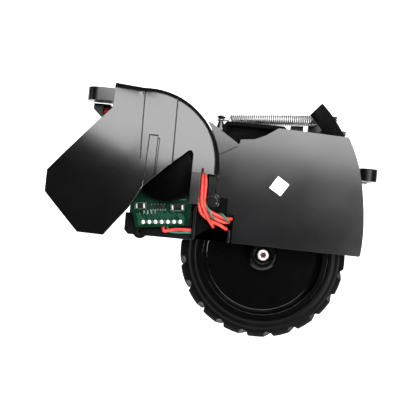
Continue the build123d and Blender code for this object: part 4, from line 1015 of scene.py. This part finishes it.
    def block(self, u: float, v: float, width: float, height: float,
              lift: float) -> tuple[np.ndarray, list]:
        """A small block on the board, `lift` high, with the board's tilt.

        Args:
            u: Its middle along the pad row.
            v: Its middle up from the row.
            width: Its size along the row.
            height: Its size up the board.
            lift: How far it stands off the board.

        Returns:
            Its corners and faces.
        """
        corners = ((-1, -1), (1, -1), (1, 1), (-1, 1))
        base = [self.place(u + a * width / 2, v + b * height / 2) for a, b in corners]
        low = np.array([(x, self.front - self.standoff, z) for x, z in base])
        high = np.array([(x, self.front - lift, z) for x, z in base])
        faces = [[0, 1, 2, 3], [4, 5, 6, 7], [0, 1, 5, 4], [1, 2, 6, 5], [2, 3, 7, 6], [3, 0, 4, 7]]
        return np.vstack([low, high]), faces


@dataclass(frozen=True)
class Lamp:
    """A soft rectangular lamp, with its size in metres and its power in watts.

    `place` is where it hangs and `aim` is the place that it faces, both in millimetres from the
    pivot. `roll` is how far its right end is turned up, in degrees.
    """

    name: str
    place: Place
    aim: Place
    width: float
    height: float
    power: float
    roll: float = 0.0

    def build(self) -> None:
        """Hang the lamp and turn it to its aim."""
        light = bpy.data.lights.new(self.name, "AREA")
        light.shape, light.energy = "RECTANGLE", self.power
        light.size, light.size_y = self.width, self.height
        holder = bpy.data.objects.new(self.name, light)
        bpy.context.scene.collection.objects.link(holder)
        holder.location = Vector(row(self.place))
        facing = Vector(row(self.place) - row(self.aim)).to_track_quat("Z", "Y")
        turned = facing @ Quaternion((0, 0, 1), math.radians(self.roll))
        holder.rotation_euler = turned.to_euler()


@dataclass
class Studio:
    """Camera, floor and lights.

    The camera stands `distance` in front of `sight`, given as X and Z, and is turned by `roll`
    degrees. The floor starts at `floor_near`, bends up in a quarter circle of radius
    `floor_bend` and stands as a backdrop at `floor_far`. `surround` is how strongly the
    surround lights the part.
    """

    roll: float = 5.5
    lens: float = 64.97
    sensor: float = 36.0
    distance: float = 330.0
    sight: tuple[float, float] = (-0.47, -3.81)
    floor_height: float = -160.0
    floor_near: float = -110.0
    floor_far: float = 650.0
    floor_bend: float = 250.0
    floor_top: float = 900.0
    floor_half: float = 1500.0
    floor_steps: int = 24
    floor_glow: float = 0.9
    surround: float = 0.04
    lamps: tuple[Lamp, ...] = (
        Lamp("front_softbox", (129, -307, 174), (129, -7, 44), 0.315, 0.28, 3.2, roll=-5),
        Lamp("left_softbox", (-119, -307, 174), (-119, -7, 44), 0.2, 0.16, 1.15, roll=-25),
        Lamp("left_strip", (-300, -60, -30), (0, 0, -20), 0.05, 0.2, 0.12),
        Lamp("right_card", (200, -300, -85), (50, 0, -35), 0.08, 0.1, 2.0),
        Lamp("behind", (60, 260, 220), (10, 0, 0), 0.3, 0.2, 2.0),
    )

    def build(self) -> None:
        """Set the camera first, then the floor, the world and the lights."""
        self.camera()
        self.floor()
        self.world()
        for lamp in self.lamps:
            lamp.build()

    def camera(self) -> None:
        """Look along +Y with the photograph's roll."""
        camera = bpy.data.cameras.new("camera")
        camera.lens = self.lens
        camera.sensor_width = self.sensor
        camera.clip_start, camera.clip_end = 0.01, 10.0
        holder = bpy.data.objects.new("camera", camera)
        bpy.context.scene.collection.objects.link(holder)
        turn = math.radians(self.roll)
        c, s = math.cos(turn), math.sin(turn)
        place = row((self.sight[0], -self.distance, self.sight[1]))
        holder.matrix_world = Matrix((
            (c, -s, 0, place[0]), (0, 0, -1, place[1]), (s, c, 0, place[2]), (0, 0, 0, 1),
        ))
        bpy.context.scene.camera = holder
        bpy.context.scene.view_settings.view_transform = "Standard"

    def floor(self) -> None:
        """A pale floor that curves up into a backdrop: a quarter circle carried sideways."""
        turn = np.linspace(0, np.pi / 2, self.floor_steps)
        low, bend = self.floor_height, self.floor_bend
        y = np.concatenate([[self.floor_near], self.floor_far - bend + bend * np.sin(turn), [self.floor_far]])
        z = np.concatenate([[low], low + bend * (1 - np.cos(turn)), [self.floor_top]])
        x = np.array([-self.floor_half, self.floor_half])
        points = np.stack(np.broadcast_arrays(x[None, :], y[:, None], z[:, None]), axis=-1)
        floor = surface("floor", points.reshape(-1, 3), quads(len(y), 2, False, False))
        made = bpy.data.materials.new("pale_floor")
        made.use_nodes = True
        shader = made.node_tree.nodes["Principled BSDF"]
        shader.inputs["Base Color"].default_value = (0.8, 0.8, 0.8, 1)
        shader.inputs["Roughness"].default_value = 0.9
        shader.inputs["Emission Color"].default_value = (1, 1, 1, 1)
        shader.inputs["Emission Strength"].default_value = self.floor_glow
        floor.data.materials.append(made)

    def world(self) -> None:
        """A surround that looks white behind the part, and lights it only dimly."""
        world = bpy.data.worlds.new("surround")
        world.use_nodes = True
        nodes, links = world.node_tree.nodes, world.node_tree.links
        background = nodes["Background"]
        background.inputs["Color"].default_value = (1, 1, 1, 1)
        ray = nodes.new("ShaderNodeLightPath")
        strength = nodes.new("ShaderNodeMapRange")
        strength.inputs["To Min"].default_value = self.surround
        strength.inputs["To Max"].default_value = 1.0
        links.new(ray.outputs["Is Camera Ray"], strength.inputs["Value"])
        links.new(strength.outputs["Result"], background.inputs["Strength"])
        bpy.context.scene.world = world


def main() -> None:
    """Build every sub-assembly in order."""
    logging.basicConfig(level=logging.INFO, format="%(name)s: %(message)s")
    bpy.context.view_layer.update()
    Studio().build()
    MouldedParts().build()
    Tyre().build()
    TensionSpring().build()
    WireLoom().build()
    BoardLeads().build()
    BoardArtwork().build()


if __name__ == "__main__":
    main()
